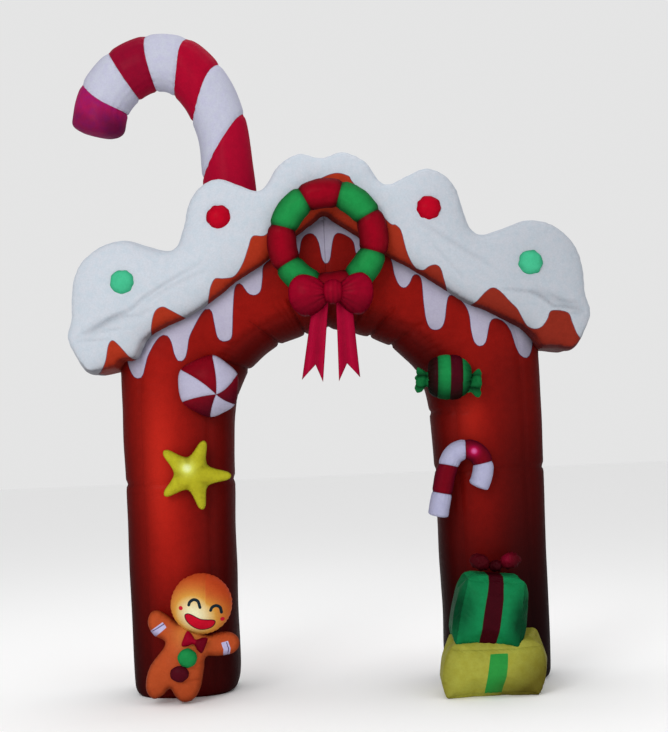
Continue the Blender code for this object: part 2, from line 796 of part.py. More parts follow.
def make_small_cane(tube):
    line = smooth_line(SMALL_CANE_ROUTE, SMALL_CANE_STEP)
    radii = round_ends(line, SMALL_CANE_TUBE, SMALL_CANE_STEP)
    shape = placed(swept(line, radii, 12), (0, SMALL_CANE_Y, 0))
    seat(add_piece("cane_small", shape, "white"), tube)


def make_gifts(tube):
    """Two parcels in front of the right leg; the yellow one stands on the floor."""
    foot = YELLOW_SIZE.z / 2
    shape = puffed_box(YELLOW_SIZE, YELLOW_SWELL, slope=YELLOW_SLOPE)
    for vert in shape.verts:
        vert.co.z = max(vert.co.z, -foot)
    placed(shape, (YELLOW_X, -TUBE_HALF_DEPTH - YELLOW_SIZE.y / 2, foot))
    yellow = seat(add_piece("gift_yellow", shape, "yellow"), tube)
    shape = puffed_box(GREEN_SIZE, GREEN_SWELL, GREEN_TOP)
    x, z = GREEN_PLACE
    placed(shape, (x, -TUBE_HALF_DEPTH - GREEN_SIZE.y / 2, z), GREEN_TURN_DEG)
    green = seat(add_piece("gift_green", shape, "gift_green"), tube, yellow)
    shape = ball(GIFT_BOW_KNOT, GIFT_BOW_KNOT_RADII, 6, 12)
    knot = seat(add_piece("gift_bow_knot", shape, "crimson"), green)
    for name, x, z, turn in GIFT_BOW_LOOPS:
        shape = placed(ball((0, 0, 0), GIFT_BOW_RADII, 8, 12), (x, GIFT_BOW_Y, z), turn)
        seat(add_piece(name, shape, "crimson"), green, knot)


for old in list(bpy.data.objects):
    bpy.data.objects.remove(old)

arch_tube = make_tube()
arch_roof = make_roof(arch_tube)
make_large_cane(arch_roof)
make_gumdrops(arch_roof)
make_bow(make_wreath(arch_roof, arch_tube))
make_mint(arch_tube)
make_star(arch_tube)
make_cookie(arch_tube)
make_wrapped_candy(arch_tube)
make_small_cane(arch_tube)
make_gifts(arch_tube)

for piece in bpy.context.scene.collection.objects:
    piece.data.transform(Matrix.Translation((0, SET_BACK, 0)))
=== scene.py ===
"""The looks of an inflatable walk-through arch: a red tube that stands on two legs, a gingerbread
roof with icing, a candy cane on the roof and the blown-up ornaments sewn to the front.

Every form is drawn about the arch's own middle plane, as seen from the front: x to the right,
z up and y to the back. It is set back to its place in the frame when its mesh is made.
"""

import math

import bmesh
import bpy
import numpy as np
from mathutils import Matrix, Vector, noise
from mathutils.bvhtree import BVHTree
from mathutils.geometry import delaunay_2d_cdt
from mathutils.kdtree import KDTree


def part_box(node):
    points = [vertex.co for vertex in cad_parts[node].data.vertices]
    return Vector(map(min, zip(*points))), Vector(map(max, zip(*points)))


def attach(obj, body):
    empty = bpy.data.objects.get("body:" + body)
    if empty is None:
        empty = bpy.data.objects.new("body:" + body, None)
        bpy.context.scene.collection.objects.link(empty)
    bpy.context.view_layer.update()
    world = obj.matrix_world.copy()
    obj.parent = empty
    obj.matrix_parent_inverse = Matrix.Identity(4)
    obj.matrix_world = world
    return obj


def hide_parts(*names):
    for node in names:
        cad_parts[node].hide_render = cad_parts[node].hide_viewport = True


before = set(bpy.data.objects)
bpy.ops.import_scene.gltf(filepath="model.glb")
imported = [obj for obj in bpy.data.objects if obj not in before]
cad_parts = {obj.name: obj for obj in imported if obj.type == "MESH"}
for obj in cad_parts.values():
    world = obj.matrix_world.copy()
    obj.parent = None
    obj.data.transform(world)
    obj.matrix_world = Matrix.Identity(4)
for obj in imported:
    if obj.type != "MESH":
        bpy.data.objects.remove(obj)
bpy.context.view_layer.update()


# ---------------------------------------------------------------------------------------------
# The tube. Two legs and a crown of coated polyester taffeta, blown up by a fan. Four long seams
# join its front, back, outer and soffit panels; cross seams gather the cloth into fine creases.
# The icing's lower drips are printed on the front panel, and lamps inside light the legs.
# ---------------------------------------------------------------------------------------------

SET_BACK = 0.095  # from the frame's origin to the arch's middle plane
TUBE_HALF_DEPTH = 0.23
TUBE_ROUNDNESS = 2.7
TUBE_GRID = 0.012
TUBE_AROUND = 128
TUBE_CUT = (1.55, 5.2)  # its cloth, round it and along it
# One half of the tube from the floor to the crown: inner x, inner z, outer x, outer z, depth
TUBE_SECTIONS = (
    (0.508, 0.000, 0.932, 0.000, 0.87),
    (0.486, 0.022, 0.948, 0.022, 0.95),
    (0.472, 0.100, 0.954, 0.080, 1.00),
    (0.471, 0.320, 0.956, 0.320, 1.00),
    (0.469, 0.550, 0.958, 0.550, 1.00),
    (0.465, 0.800, 0.960, 0.800, 1.00),
    (0.462, 0.960, 0.960, 0.960, 1.00),
    (0.457, 1.120, 0.962, 1.120, 1.00),
    (0.450, 1.250, 0.962, 1.290, 1.00),
    (0.432, 1.345, 0.962, 1.450, 1.00),
    (0.393, 1.433, 0.958, 1.600, 1.00),
    (0.345, 1.487, 0.900, 1.725, 1.00),
    (0.285, 1.540, 0.760, 1.840, 1.00),
    (0.210, 1.580, 0.600, 1.940, 1.00),
    (0.140, 1.603, 0.420, 2.050, 1.00),
    (0.070, 1.621, 0.220, 2.160, 1.00),
    (0.000, 1.632, 0.000, 2.240, 1.00),
)
LEG_SEAM_Z = 0.960
# The leg seams lie below the first height, the soffit's and the crown's above the other two
LEGS_TOP, SOFFIT_FOOT, CROWN_FOOT = 1.2, 1.1, 1.4
BEND = (1.15, 1.45)  # from where to where up it the tube bends over
LONG_SEAM_DEG = 60  # where the front and the back panel end, from straight inwards or outwards
SOFFIT_SEAMS = (-0.436, -0.375, -0.232, -0.105, 0.105, 0.191, 0.287, 0.407, 0.452)  # x
SOFFIT_ACROSS = 0.30  # how far out the soffit's seams run, as a share of the tube's width
TUBE_PINCH = (0.008, 0.012)  # how far a seam draws the cloth in, and how wide
# Creases at the long seams and at the cross seams: depth on the legs, how much deeper in the
# crown, spacing, length
LONG_GATHERS = (0.0015, 0.0045, 0.042, 0.045)
CROSS_GATHERS = (0.003, 0.003, 0.034, 0.045)
TUBE_LUMPS = (0.004, 0.22)  # height, size
# The lower drips from left to right, under the roof's lip: x, z
LOWER_DRIPS = (
    (-0.915, 1.522), (-0.905, 1.480), (-0.885, 1.446), (-0.866, 1.438), (-0.848, 1.448),
    (-0.832, 1.485), (-0.815, 1.536), (-0.780, 1.596), (-0.748, 1.626), (-0.722, 1.622),
    (-0.705, 1.590), (-0.696, 1.545), (-0.682, 1.512), (-0.666, 1.505), (-0.648, 1.518),
    (-0.636, 1.555), (-0.625, 1.610), (-0.600, 1.660), (-0.568, 1.712), (-0.542, 1.738),
    (-0.520, 1.724), (-0.510, 1.668), (-0.500, 1.612), (-0.484, 1.590), (-0.462, 1.587),
    (-0.438, 1.600), (-0.430, 1.640), (-0.424, 1.720), (-0.414, 1.812), (-0.400, 1.842),
    (-0.382, 1.842), (-0.368, 1.820), (-0.350, 1.796), (-0.323, 1.788), (-0.297, 1.806),
    (-0.286, 1.860), (-0.274, 1.924), (-0.200, 1.960), (-0.150, 1.925), (-0.118, 1.960),
    (-0.103, 2.026), (-0.076, 2.054), (-0.046, 2.050), (-0.026, 2.010), (-0.014, 1.938),
    (0.004, 1.916), (0.022, 1.938), (0.034, 2.004), (0.048, 2.044), (0.076, 2.051),
    (0.127, 2.016), (0.140, 1.955), (0.172, 1.925), (0.220, 1.970), (0.289, 1.934),
    (0.307, 1.855), (0.326, 1.806), (0.351, 1.792), (0.374, 1.812), (0.390, 1.844),
    (0.412, 1.850), (0.428, 1.820), (0.432, 1.730), (0.440, 1.650), (0.456, 1.608),
    (0.482, 1.597), (0.508, 1.606), (0.524, 1.640), (0.536, 1.712), (0.548, 1.748),
    (0.572, 1.745), (0.612, 1.712), (0.634, 1.660), (0.640, 1.590), (0.652, 1.536),
    (0.676, 1.515), (0.702, 1.530), (0.716, 1.580), (0.730, 1.626), (0.754, 1.638),
    (0.790, 1.622), (0.820, 1.580), (0.838, 1.520), (0.860, 1.472), (0.888, 1.454),
    (0.908, 1.470), (0.920, 1.510), (0.929, 1.560),
)
DRIPS_TOP = ((0.970, 2.300), (-0.970, 2.300))  # under the roof
PRINT_STEP = 0.008
# How far painted shade darkens the tube: z, the left leg, the right leg, the legs' sides
TUBE_PAINTED_SHADE = (
    (0.00, 0.66, 0.97, 0.86),
    (0.20, 0.52, 0.92, 0.86),
    (0.40, 0.34, 0.84, 0.84),
    (0.60, 0.12, 0.67, 0.80),
    (0.80, 0.02, 0.46, 0.76),
    (1.00, 0.00, 0.40, 0.70),
    (1.20, 0.00, 0.22, 0.60),
    (1.40, 0.06, 0.28, 0.48),
    (1.55, 0.10, 0.22, 0.20),
    (1.75, 0.16, 0.22, 0.00),
    (1.90, 0.20, 0.26, 0.00),
)
# How dark the painted shade under the soffit and on the tube's sides is
SOFFIT_DARK = 0.60
SIDE_DARK = 0.35
# The line up each leg where the painted shade is least: x, how soon it darkens outwards and inwards
TUBE_BRIGHT = ((-0.765, 0.095, 0.150), (0.635, 0.125, 0.105))
# The lamps inside the legs: x, z, half width, half height, strength
TUBE_LAMPS = (
    (-0.790, 1.030, 0.065, 0.240, 0.34),
    (-0.700, 0.520, 0.050, 0.110, 0.12),
    (0.615, 1.190, 0.045, 0.150, 0.26),
)
SOFFIT_SWELL = (0.007, 0.035)  # of the cloth between the soffit's seams: how high, how soon
FLAT_FOOT = 0.05  # below it the cloth is drawn flat on the floor
FOLD_STEP = 0.012
# Creases across the front: the depth and the width of each, then its line: x, z
TUBE_FOLDS = (
    (0.006, 0.010, ((0.300, 1.640), (0.420, 1.612), (0.560, 1.600), (0.700, 1.612))),
    (0.004, 0.008, ((0.470, 1.545), (0.540, 1.560), (0.640, 1.556))),
    (0.004, 0.008, ((-0.560, 1.600), (-0.440, 1.575), (-0.300, 1.600))),
    (0.004, 0.009, ((-0.930, 0.930), (-0.820, 0.915), (-0.700, 0.922))),
    (0.004, 0.009, ((0.480, 1.010), (0.600, 0.996), (0.760, 1.004))),
)


def walked_along(line):
    """How far along a line each of its points lies."""
    return np.append(0, np.cumsum(np.linalg.norm(np.diff(line, axis=0), axis=1)))


def smooth_line(points, step, closed=False):
    """Points at an even step along a smooth curve through the given ones."""
    points = np.array(points, float)
    if closed:
        framed = np.vstack([points[-1:], points, points[:2]])
    else:
        framed = np.vstack([2 * points[0] - points[1], points, 2 * points[-1] - points[-2]])
    t = np.arange(16)[:, None] / 16
    dense = []
    for before, start, end, after in zip(framed, framed[1:], framed[2:], framed[3:]):
        bend = (before * 2 - start * 5 + end * 4 - after) * t**2
        twist = (start * 3 - before - end * 3 + after) * t**3
        dense.append((start * 2 + (end - before) * t + bend + twist) / 2)
    dense = np.vstack(dense + [points[:1] if closed else points[-1:]])
    walked = walked_along(dense)
    spans = max(3, round(walked[-1] / step))
    goals = np.linspace(0, walked[-1], spans + 1)[: spans if closed else None]
    return np.column_stack([np.interp(goals, walked, column) for column in dense.T])


def between_rows(rows, index):
    """The columns of a table at places between its rows."""
    return [np.interp(index, np.arange(len(rows)), column) for column in rows.T]


SAME_GAP = 1e-9  # gaps that differ by less are taken as equal


def from_outline(points, outline):
    """How deep points lie inside a closed outline, below 0 outside it, and how far round it."""
    tree = KDTree(len(outline))
    for k, (x, z) in enumerate(outline.tolist()):
        tree.insert((x, 0, z), k)
    tree.balance()
    near = np.array([tree.find((x, 0, z))[1] for x, z in points.tolist()])
    steps = np.roll(outline, -1, axis=0) - outline
    lengths = np.linalg.norm(steps, axis=1)
    walked = np.append(0, np.cumsum(lengths))
    gaps, sides, arounds = [], [], []
    for start in ((near - 1) % len(outline), near):
        off, step, length = points - outline[start], steps[start], lengths[start]
        share = np.clip((off * step).sum(1) / length**2, 0, 1)
        gaps.append(np.linalg.norm(off - share[:, None] * step, axis=1))
        sides.append((step[:, 0] * off[:, 1] - step[:, 1] * off[:, 0]) / length)
        arounds.append(walked[start] + share * length)
    before, after = gaps
    nearer = [before < after - SAME_GAP, after < before - SAME_GAP]
    side = np.select(nearer, sides, sum(sides))
    depth = np.minimum(before, after) * np.sign(side) * np.sign(polygon_area(outline))
    return depth, np.where(before < after, *arounds)


def away_from(points, line):
    """How far points lie from a line of close points, and how far along it, from 0 to 1."""
    gaps, along = [], []
    for some in np.array_split(points, len(points) // 4000 + 1):
        gap = np.linalg.norm(some[:, None] - line, axis=2)
        gaps.append(gap.min(1))
        along.append(gap.argmin(1) / (len(line) - 1))
    return np.concatenate(gaps), np.concatenate(along)


def polygon_area(outline):
    """The area inside a closed outline, above 0 if it is walked anticlockwise."""
    x, z = outline.T
    return 0.5 * (x * np.roll(z, -1) - z * np.roll(x, -1)).sum()


def ramp(values, start, full):
    """From 0 where values are at the start to 1 where they are full, and no further."""
    return np.clip((values - start) / (full - start), 0, 1)


def groove(off, depth, width):
    """How deep a soft groove is at some distances off its line."""
    return depth * np.exp(-((off / width) ** 2))


def uneven(points, height, size, seed=0.0):
    """Smooth chance heights over some points, in lumps of a given size."""
    points = (np.asarray(points) / size + seed).tolist()
    return height * np.array([noise.noise(point) for point in points])


def gathers(along, off_seam, depth, pitch, reach, seed=0.0):
    """The small creases that run away from a seam: their depth, spacing and length."""
    line = np.column_stack([along, along * 0, along * 0])
    crease = 0.5 - 0.5 * np.cos(math.tau * along / pitch + uneven(line, 5, 3 * pitch, seed))
    strength = np.clip(0.55 + uneven(line, 0.9, 1.7 * pitch, seed + 9), 0, 1)
    fade = reach * (1 + uneven(line, 0.5, 1.3 * pitch, seed + 5))
    return depth * crease**1.5 * strength * np.exp(-off_seam / fade)


def folded_in(places, folds, easing):
    """How deep long folds of the front lie at some places: each one's depth, width and line."""
    depths = np.zeros(len(places))
    for depth, width, line in folds:
        gap, along = away_from(places[:, ::2], smooth_line(line, FOLD_STEP))
        depths += groove(gap, depth, width) * np.sin(math.pi * along) ** easing
    return depths


def points_of(mesh):
    points = np.empty(len(mesh.vertices) * 3)
    mesh.vertices.foreach_get("co", points)
    return points.reshape(-1, 3)


def set_points(mesh, points):
    mesh.vertices.foreach_set("co", np.asarray(points, float).ravel())
    mesh.update()


def push(mesh, amounts):
    """Move each point of a mesh along its normal."""
    normals = np.empty(len(mesh.vertices) * 3)
    mesh.vertex_normals.foreach_get("vector", normals)
    set_points(mesh, points_of(mesh) + normals.reshape(-1, 3) * np.asarray(amounts)[:, None])


def note(mesh, fact, values):
    """Keep a number for each point of a mesh, for its material to read."""
    layer = mesh.attributes.get(fact) or mesh.attributes.new(fact, "FLOAT", "POINT")
    layer.data.foreach_set("value", np.asarray(values, np.float32))


def noted(mesh, fact):
    values = np.empty(len(mesh.vertices), np.float32)
    mesh.attributes[fact].data.foreach_get("value", values)
    return values


def corners_of(mesh):
    """The point that each corner of a mesh's faces lies at."""
    corners = np.empty(len(mesh.loops), int)
    mesh.loops.foreach_get("vertex_index", corners)
    return corners


def cut_cloth(mesh, flat):
    """Lay the weave along cloth as it was cut: flat is where each corner lay then, in metres."""
    mesh.uv_layers.new(name="weave").data.foreach_set("uv", flat.ravel())


def mesh_of(name, shape):
    """A mesh of a drawn shape."""
    mesh = bpy.data.meshes.new(name)
    shape.to_mesh(mesh)
    shape.free()
    return mesh


def sewn_up(mesh):
    """Join the edges that meet, close what is left open, and turn the faces outwards."""
    shape = bmesh.new()
    shape.from_mesh(mesh)
    bmesh.ops.remove_doubles(shape, verts=shape.verts, dist=1e-5)
    bmesh.ops.dissolve_degenerate(shape, edges=shape.edges, dist=1e-6)
    bmesh.ops.holes_fill(shape, edges=shape.edges)
    ends = [face for face in shape.faces if len(face.verts) > 4]
    bmesh.ops.triangulate(shape, faces=ends)
    bmesh.ops.recalc_face_normals(shape, faces=shape.faces)
    shape.to_mesh(mesh)
    shape.free()
    return mesh


def rolled(name, around, along, size, form):
    """Roll a grid of cloth into a tube. form gives the places of its points, and what is known
    of them, from how far round the tube and how far along it they lie, from 0 to 1."""
    shape = bmesh.new()
    bmesh.ops.create_grid(shape, x_segments=around, y_segments=along, size=1)
    mesh = mesh_of(name, shape)
    flat = points_of(mesh)[:, :2] / 2 + 0.5
    cut_cloth(mesh, (flat * size)[corners_of(mesh)])
    places, facts = form(*flat.T)
    set_points(mesh, places)
    for fact, values in facts.items():
        note(mesh, fact, values)
    return sewn_up(mesh)


def linear(colour):
    """A linear colour from its sRGB hex value."""
    parts = [int(colour[k : k + 2], 16) / 255 for k in (0, 2, 4)]
    return (*(p / 12.92 if p <= 0.04045 else ((p + 0.055) / 1.055) ** 2.4 for p in parts), 1)


def add_node(tree, kind, sockets=None, **settings):
    """Add a node, set it up, and fill or link its sockets; gives back what it puts out."""
    made = tree.nodes.new("ShaderNode" + kind)
    for setting, value in settings.items():
        setattr(made, setting, value)
    for socket, value in (sockets or {}).items():
        if isinstance(value, bpy.types.NodeSocket):
            tree.links.new(value, made.inputs[socket])
        else:
            made.inputs[socket].default_value = value
    return made.outputs


def new_material(name):
    """A material, and the sockets of its shader."""
    made = bpy.data.materials.new(name)
    made.use_nodes = True
    return made, made.node_tree.nodes["Principled BSDF"].inputs


THREAD = 0.0016  # the threads are a tenth of this, too fine to show, and so drawn coarser
BLOTCH = 0.030  # where the dye took unevenly
SPECK = 0.007  # of its lightness
CRINKLE = 0.022  # of its surface
SEAM_LINE = 0.0030  # half of the seam's dark line
PRINT_LINE = 0.0018  # half of the dark line round a printed figure
PRINT_BLUR = 0.0006
LAMP_LIGHT = 0.30


def polyester(name, ground, tint, prints=(), lamp=None, dark="180606"):
    """Coated polyester taffeta, woven fine and even, dyed in the piece or printed, with a dull
    shine. prints lists the fact that bounds each printed colour, its colour, its tint and its
    outline. lamp is the colour that a lamp inside gives the cloth, and its hottest spot's. dark
    is the colour that the painted shade and the seams' dark lines turn the cloth towards."""
    cloth, shader = new_material(name)
    tree = cloth.node_tree
    place = add_node(tree, "TexCoord")["Object"]
    cut = add_node(tree, "UVMap", uv_map="weave")[0]

    def fact(name):
        return add_node(tree, "Attribute", attribute_name=name)["Fac"]

    def lumps(size, detail):
        sockets = {"Vector": place, "Scale": 1 / size, "Detail": detail}
        return add_node(tree, "TexNoise", sockets)[0]

    def mapped(value, low, high, to_low=0.0, to_high=1.0):
        sockets = {0: value, 1: low, 2: high, 3: to_low, 4: to_high}
        return add_node(tree, "MapRange", sockets)[0]

    def mixed(share, first, second):
        return add_node(tree, "Mix", {0: share, 6: first, 7: second}, data_type="RGBA")[2]

    def raised(height, distance, strength, **below):
        sockets = {"Height": height, "Distance": distance, "Strength": strength}
        return add_node(tree, "Bump", sockets | below)[0]

    blotch = mapped(lumps(BLOTCH, 5.0), 0.38, 0.66, 0.2, 0.7)
    colour = mixed(blotch, linear(ground), linear(tint))
    if lamp:
        light = fact("lamp")
        colour = mixed(mapped(light, 0.0, 0.55), colour, linear(lamp[0]))
        colour = mixed(mapped(light, 0.45, 1.0), colour, linear(lamp[1]))
    for bound, printed, printed_tint, outline in prints:
        inside = mapped(fact(bound), -PRINT_BLUR, PRINT_BLUR)
        colour = mixed(inside, colour, mixed(blotch, linear(printed), linear(printed_tint)))
        if outline:
            away = add_node(tree, "Math", {0: fact(bound)}, operation="ABSOLUTE")[0]
            line = mapped(away, PRINT_LINE, PRINT_LINE / 3)
            colour = mixed(line, colour, linear(outline))
    # The shade fact paints shade into the colour, towards dark.
    colour = mixed(fact("shade"), colour, linear(dark))
    colour = mixed(mapped(fact("seam"), 0.0, SEAM_LINE, 0.45, 0.0), colour, linear(dark))
    value = mapped(lumps(SPECK, 2.0), 0.3, 0.7, 0.955, 1.045)
    colour = add_node(tree, "HueSaturation", {"Value": value, "Color": colour})[0]
    if lamp:
        tree.links.new(colour, shader["Emission Color"])
        bright = add_node(tree, "Math", {0: light, 1: LAMP_LIGHT}, operation="MULTIPLY")[0]
        tree.links.new(bright, shader["Emission Strength"])
    tree.links.new(colour, shader["Base Color"])

    crinkle = lumps(CRINKLE, 4.0)
    height = raised(crinkle, 0.004, 0.30)
    # A wave texture's bands lie pi / 10 apart at a scale of 1.
    for way in ("X", "Y"):
        bands = {"Vector": cut, "Scale": math.pi / 10 / THREAD}
        thread = add_node(tree, "TexWave", bands, bands_direction=way)["Fac"]
        height = raised(thread, THREAD / 6, 0.25, Normal=height)
    height = raised(mapped(fact("seam"), 0.0, 0.005), 0.002, 0.7, Normal=height)
    tree.links.new(height, shader["Normal"])
    tree.links.new(mapped(crinkle, 0.3, 0.7, 0.38, 0.52), shader["Roughness"])
    # A thin dull coat gives the shine, as the bare weave would turn milky where it turns away.
    shader["Specular IOR Level"].default_value = 0.004
    shader["Coat Weight"].default_value = 0.022
    shader["Coat Roughness"].default_value = 0.36
    shader["Coat IOR"].default_value = 1.8
    return cloth


def add_object(name, data):
    """Put an object in the scene."""
    made = bpy.data.objects.new(name, data)
    bpy.context.scene.collection.objects.link(made)
    return made


def dress(mesh, cloth, node):
    """Set a blown-up mesh back to its place as the piece that stands for a solid."""
    for fact in ("seam", "shade", "lamp"):
        if fact not in mesh.attributes:
            note(mesh, fact, np.full(len(mesh.vertices), 1.0 if fact == "seam" else 0.0))
    mesh.transform(Matrix.Translation((0, SET_BACK, 0)))
    mesh.shade_smooth()
    mesh.materials.append(cloth)
    piece = add_object("cloth_" + node, mesh)
    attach(piece, "root")
    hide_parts(node)
    return piece


def carrier_of(places, mesh):
    """What ornaments can be pressed against: a mesh with its points at some places."""
    return BVHTree.FromPolygons(places.tolist(), [face.vertices for face in mesh.polygons])


def soft_square(value):
    """A sine or cosine drawn out towards the corners of a rounded square."""
    return np.copysign(np.abs(value) ** (2 / TUBE_ROUNDNESS), value)


def spot(points, x, z, size):
    """A soft round patch of a given size about a place on the front, from 0 to 1."""
    return np.exp(-((points[:, 0] - x) ** 2 + (points[:, 2] - z) ** 2) / (2 * size**2))


def tube_form(u, v):
    turns = np.linspace(0, math.tau, 721)
    ring = np.column_stack([soft_square(np.cos(turns)), soft_square(np.sin(turns))])
    walked = walked_along(ring)
    girth = walked[-1] * TUBE_HALF_DEPTH
    turn = np.interp(u, walked / walked[-1], turns)
    right = np.array(TUBE_SECTIONS)
    left = right[-2::-1] * (-1, 1, -1, 1, 1)
    rows = smooth_line(np.vstack([right, left]), 2 * TUBE_GRID / math.sqrt(2))
    index = v * (len(rows) - 1)
    inner_x, inner_z, outer_x, outer_z, depth = between_rows(rows, index)
    across = (1 + soft_square(np.cos(turn))) / 2
    x = inner_x + (outer_x - inner_x) * across
    z = inner_z + (outer_z - inner_z) * across
    y = soft_square(np.sin(turn)) * TUBE_HALF_DEPTH * depth
    places = np.column_stack([x, y, z])

    long_seam = math.radians(LONG_SEAM_DEG)
    off_long = np.full(len(u), 1.0)
    for seam in (long_seam, math.pi - long_seam, math.pi + long_seam, math.tau - long_seam):
        off = np.abs(u - np.interp(seam, turns, walked / walked[-1]))
        off_long = np.minimum(off_long, np.minimum(off, 1 - off) * girth)
    off_cross = np.where(z < LEGS_TOP, np.abs(z - LEG_SEAM_Z), 1.0)
    off_cross = np.minimum(off_cross, np.where(z > CROWN_FOOT, np.abs(x), 1.0))
    soffit = (across < SOFFIT_ACROSS) & (z > SOFFIT_FOOT)
    quarter = len(rows) // 4
    for seam in SOFFIT_SEAMS:
        row = quarter + np.abs(rows[quarter:-quarter, 0] - seam).argmin()
        off = np.where(soffit, np.abs(index - row) * TUBE_GRID, 1.0)
        off_cross = np.minimum(off_cross, off)
    facts = {"off_long": off_long, "off_cross": off_cross, "across": across}
    return places, facts | {"along": index * TUBE_GRID}


tube_rows = 2 * int(TUBE_CUT[1] / 2 / TUBE_GRID)
tube = rolled("arch_tube", TUBE_AROUND, tube_rows, TUBE_CUT, tube_form)
places = points_of(tube)
x, y, z = places.T
off_long, off_cross, across = (noted(tube, fact) for fact in ("off_long", "off_cross", "across"))
off_seam = np.minimum(off_long, off_cross)
in_front = y < 0
bent = ramp(z, *BEND)
creases = folded_in(places, TUBE_FOLDS, 1) * in_front
for (depth, deeper, pitch, reach), along, off, seed in (
    (LONG_GATHERS, noted(tube, "along"), off_long, 0),
    (CROSS_GATHERS, x + 2 * y + z, off_cross, 3),
):
    creases += gathers(along, off, depth + deeper * bent, pitch, reach, seed)
under = ramp(across, 0.35, 0.20) * bent
swell_height, swell_reach = SOFFIT_SWELL
swell = swell_height * under * (0.5 - np.exp(-off_cross / swell_reach))
swell += uneven(places, *TUBE_LUMPS)
push(tube, (swell - creases - groove(off_seam, *TUBE_PINCH)) * ramp(z, 0, FLAT_FOOT))
note(tube, "seam", off_seam)
drips = np.vstack([smooth_line(LOWER_DRIPS, PRINT_STEP), DRIPS_TOP])
note(tube, "drip", np.where(in_front, from_outline(places[:, ::2], drips)[0], -1))
# Painted shade under the soffit and on the sides that turn away.
soffit_dark = SOFFIT_DARK * ramp(across, 0.28, 0.14) * bent
round_side = SIDE_DARK * ramp(np.abs(across - 0.5), 0.38, 0.48)
# Painted shade down the legs, deeper on the right leg and away from each leg's lit line.
shade_z, shade_left, shade_right, shade_sides = np.array(TUBE_PAINTED_SHADE).T
leg_dark = np.where(x < 0, np.interp(z, shade_z, shade_left), np.interp(z, shade_z, shade_right))
off_line = np.zeros(len(places))
for line_x, outer, inner in TUBE_BRIGHT:
    share = (x - line_x) / np.where(np.abs(x) > abs(line_x), outer, inner)
    off_line = np.where(x * line_x > 0, 1 - np.exp(-(share**2)), off_line)
side_dark = off_line * np.interp(z, shade_z, shade_sides)
note(tube, "shade", 1 - (1 - soffit_dark) * (1 - round_side) * (1 - leg_dark) * (1 - side_dark))
lit = np.zeros(len(places))
for lamp_x, lamp_z, width, height, bright in TUBE_LAMPS:
    lit += bright * spot(places * (1, 1, width / height), lamp_x, lamp_z * width / height, width)
note(tube, "lamp", np.where(in_front, np.clip(lit, 0, 1), 0))
red_taffeta = polyester(
    "red_taffeta",
    "98160f",
    "8a120c",
    [("drip", "c0bcd0", "b6b1ca", "4a2a4e")],
    lamp=("b8271a", "d04a2e"),
    dark="0e0304",
)
tube_front = carrier_of(places, tube)
dress(tube, red_taffeta, "arch_tube")


# ---------------------------------------------------------------------------------------------
# The roof. A front and a back panel of the same cloth, sewn to a strip half a metre wide. The
# icing and the gingerbread under it are printed. Folds run up from both eaves, where the front
# panel is drawn in over the lip.
# ---------------------------------------------------------------------------------------------

ROOF_OUTLINE = (  # the right half; the left one mirrors it down to its lip
    (0.000, 2.400), (0.100, 2.419), (0.200, 2.372), (0.262, 2.285), (0.305, 2.270),
    (0.385, 2.303), (0.470, 2.330), (0.550, 2.296), (0.607, 2.222), (0.640, 2.105),
    (0.672, 2.036), (0.722, 2.020), (0.805, 2.042), (0.900, 2.070), (1.000, 2.056),
    (1.088, 1.998), (1.138, 1.918), (1.156, 1.830), (1.161, 1.720), (1.180, 1.646),
    (1.164, 1.585), (1.121, 1.505), (1.080, 1.473), (1.005, 1.482), (0.940, 1.489),
    (0.908, 1.530), (0.860, 1.574), (0.790, 1.616), (0.700, 1.662), (0.600, 1.708),
    (0.420, 1.835), (0.280, 1.920), (0.140, 2.026), (0.050, 2.092), (0.000, 2.128),
)
ROOF_LIP = 22  # the number of its outline's point where the lower edge begins
ROOF_LEFT_LIP = (  # a drop of the icing hangs over it
    (-1.080, 1.473), (-1.005, 1.482), (-0.958, 1.492), (-0.926, 1.521), (-0.896, 1.521),
    (-0.866, 1.531), (-0.838, 1.574), (-0.810, 1.614), (-0.740, 1.656), (-0.600, 1.712),
    (-0.420, 1.835), (-0.280, 1.920), (-0.140, 2.026), (-0.050, 2.092),
)
ROOF_TILT_DEG = 0.4
ROOF_SHIFT = 0.016
ROOF_EDGE = 0.260  # half of the strip's width
ROOF_CROWN = 0.090
ROOF_BULGE = 0.013  # of the strip
ROOF_GRID = 0.008
ROOF_GATHERS = (0.0035, 0.040, 0.040)  # depth, spacing, length
ROOF_PINCH = (0.002, 0.008)
ROOF_LUMPS = (0.006, 0.20)
ROOF_WAVES = (0.0018, 0.055)
# How much painted shade darkens the icing and the gingerbread to the right, and from where to where
ICING_DARK = (0.16, 0.25, 0.85)
GINGER_DARK = (0.30, 0.20, 0.50)
LIP_DARK = (0.55, 0.020)  # painted shade above the lip: how much, how far up
UNDER_LIP_DARK = (0.50, 0.022)  # painted shadow on the tube below it
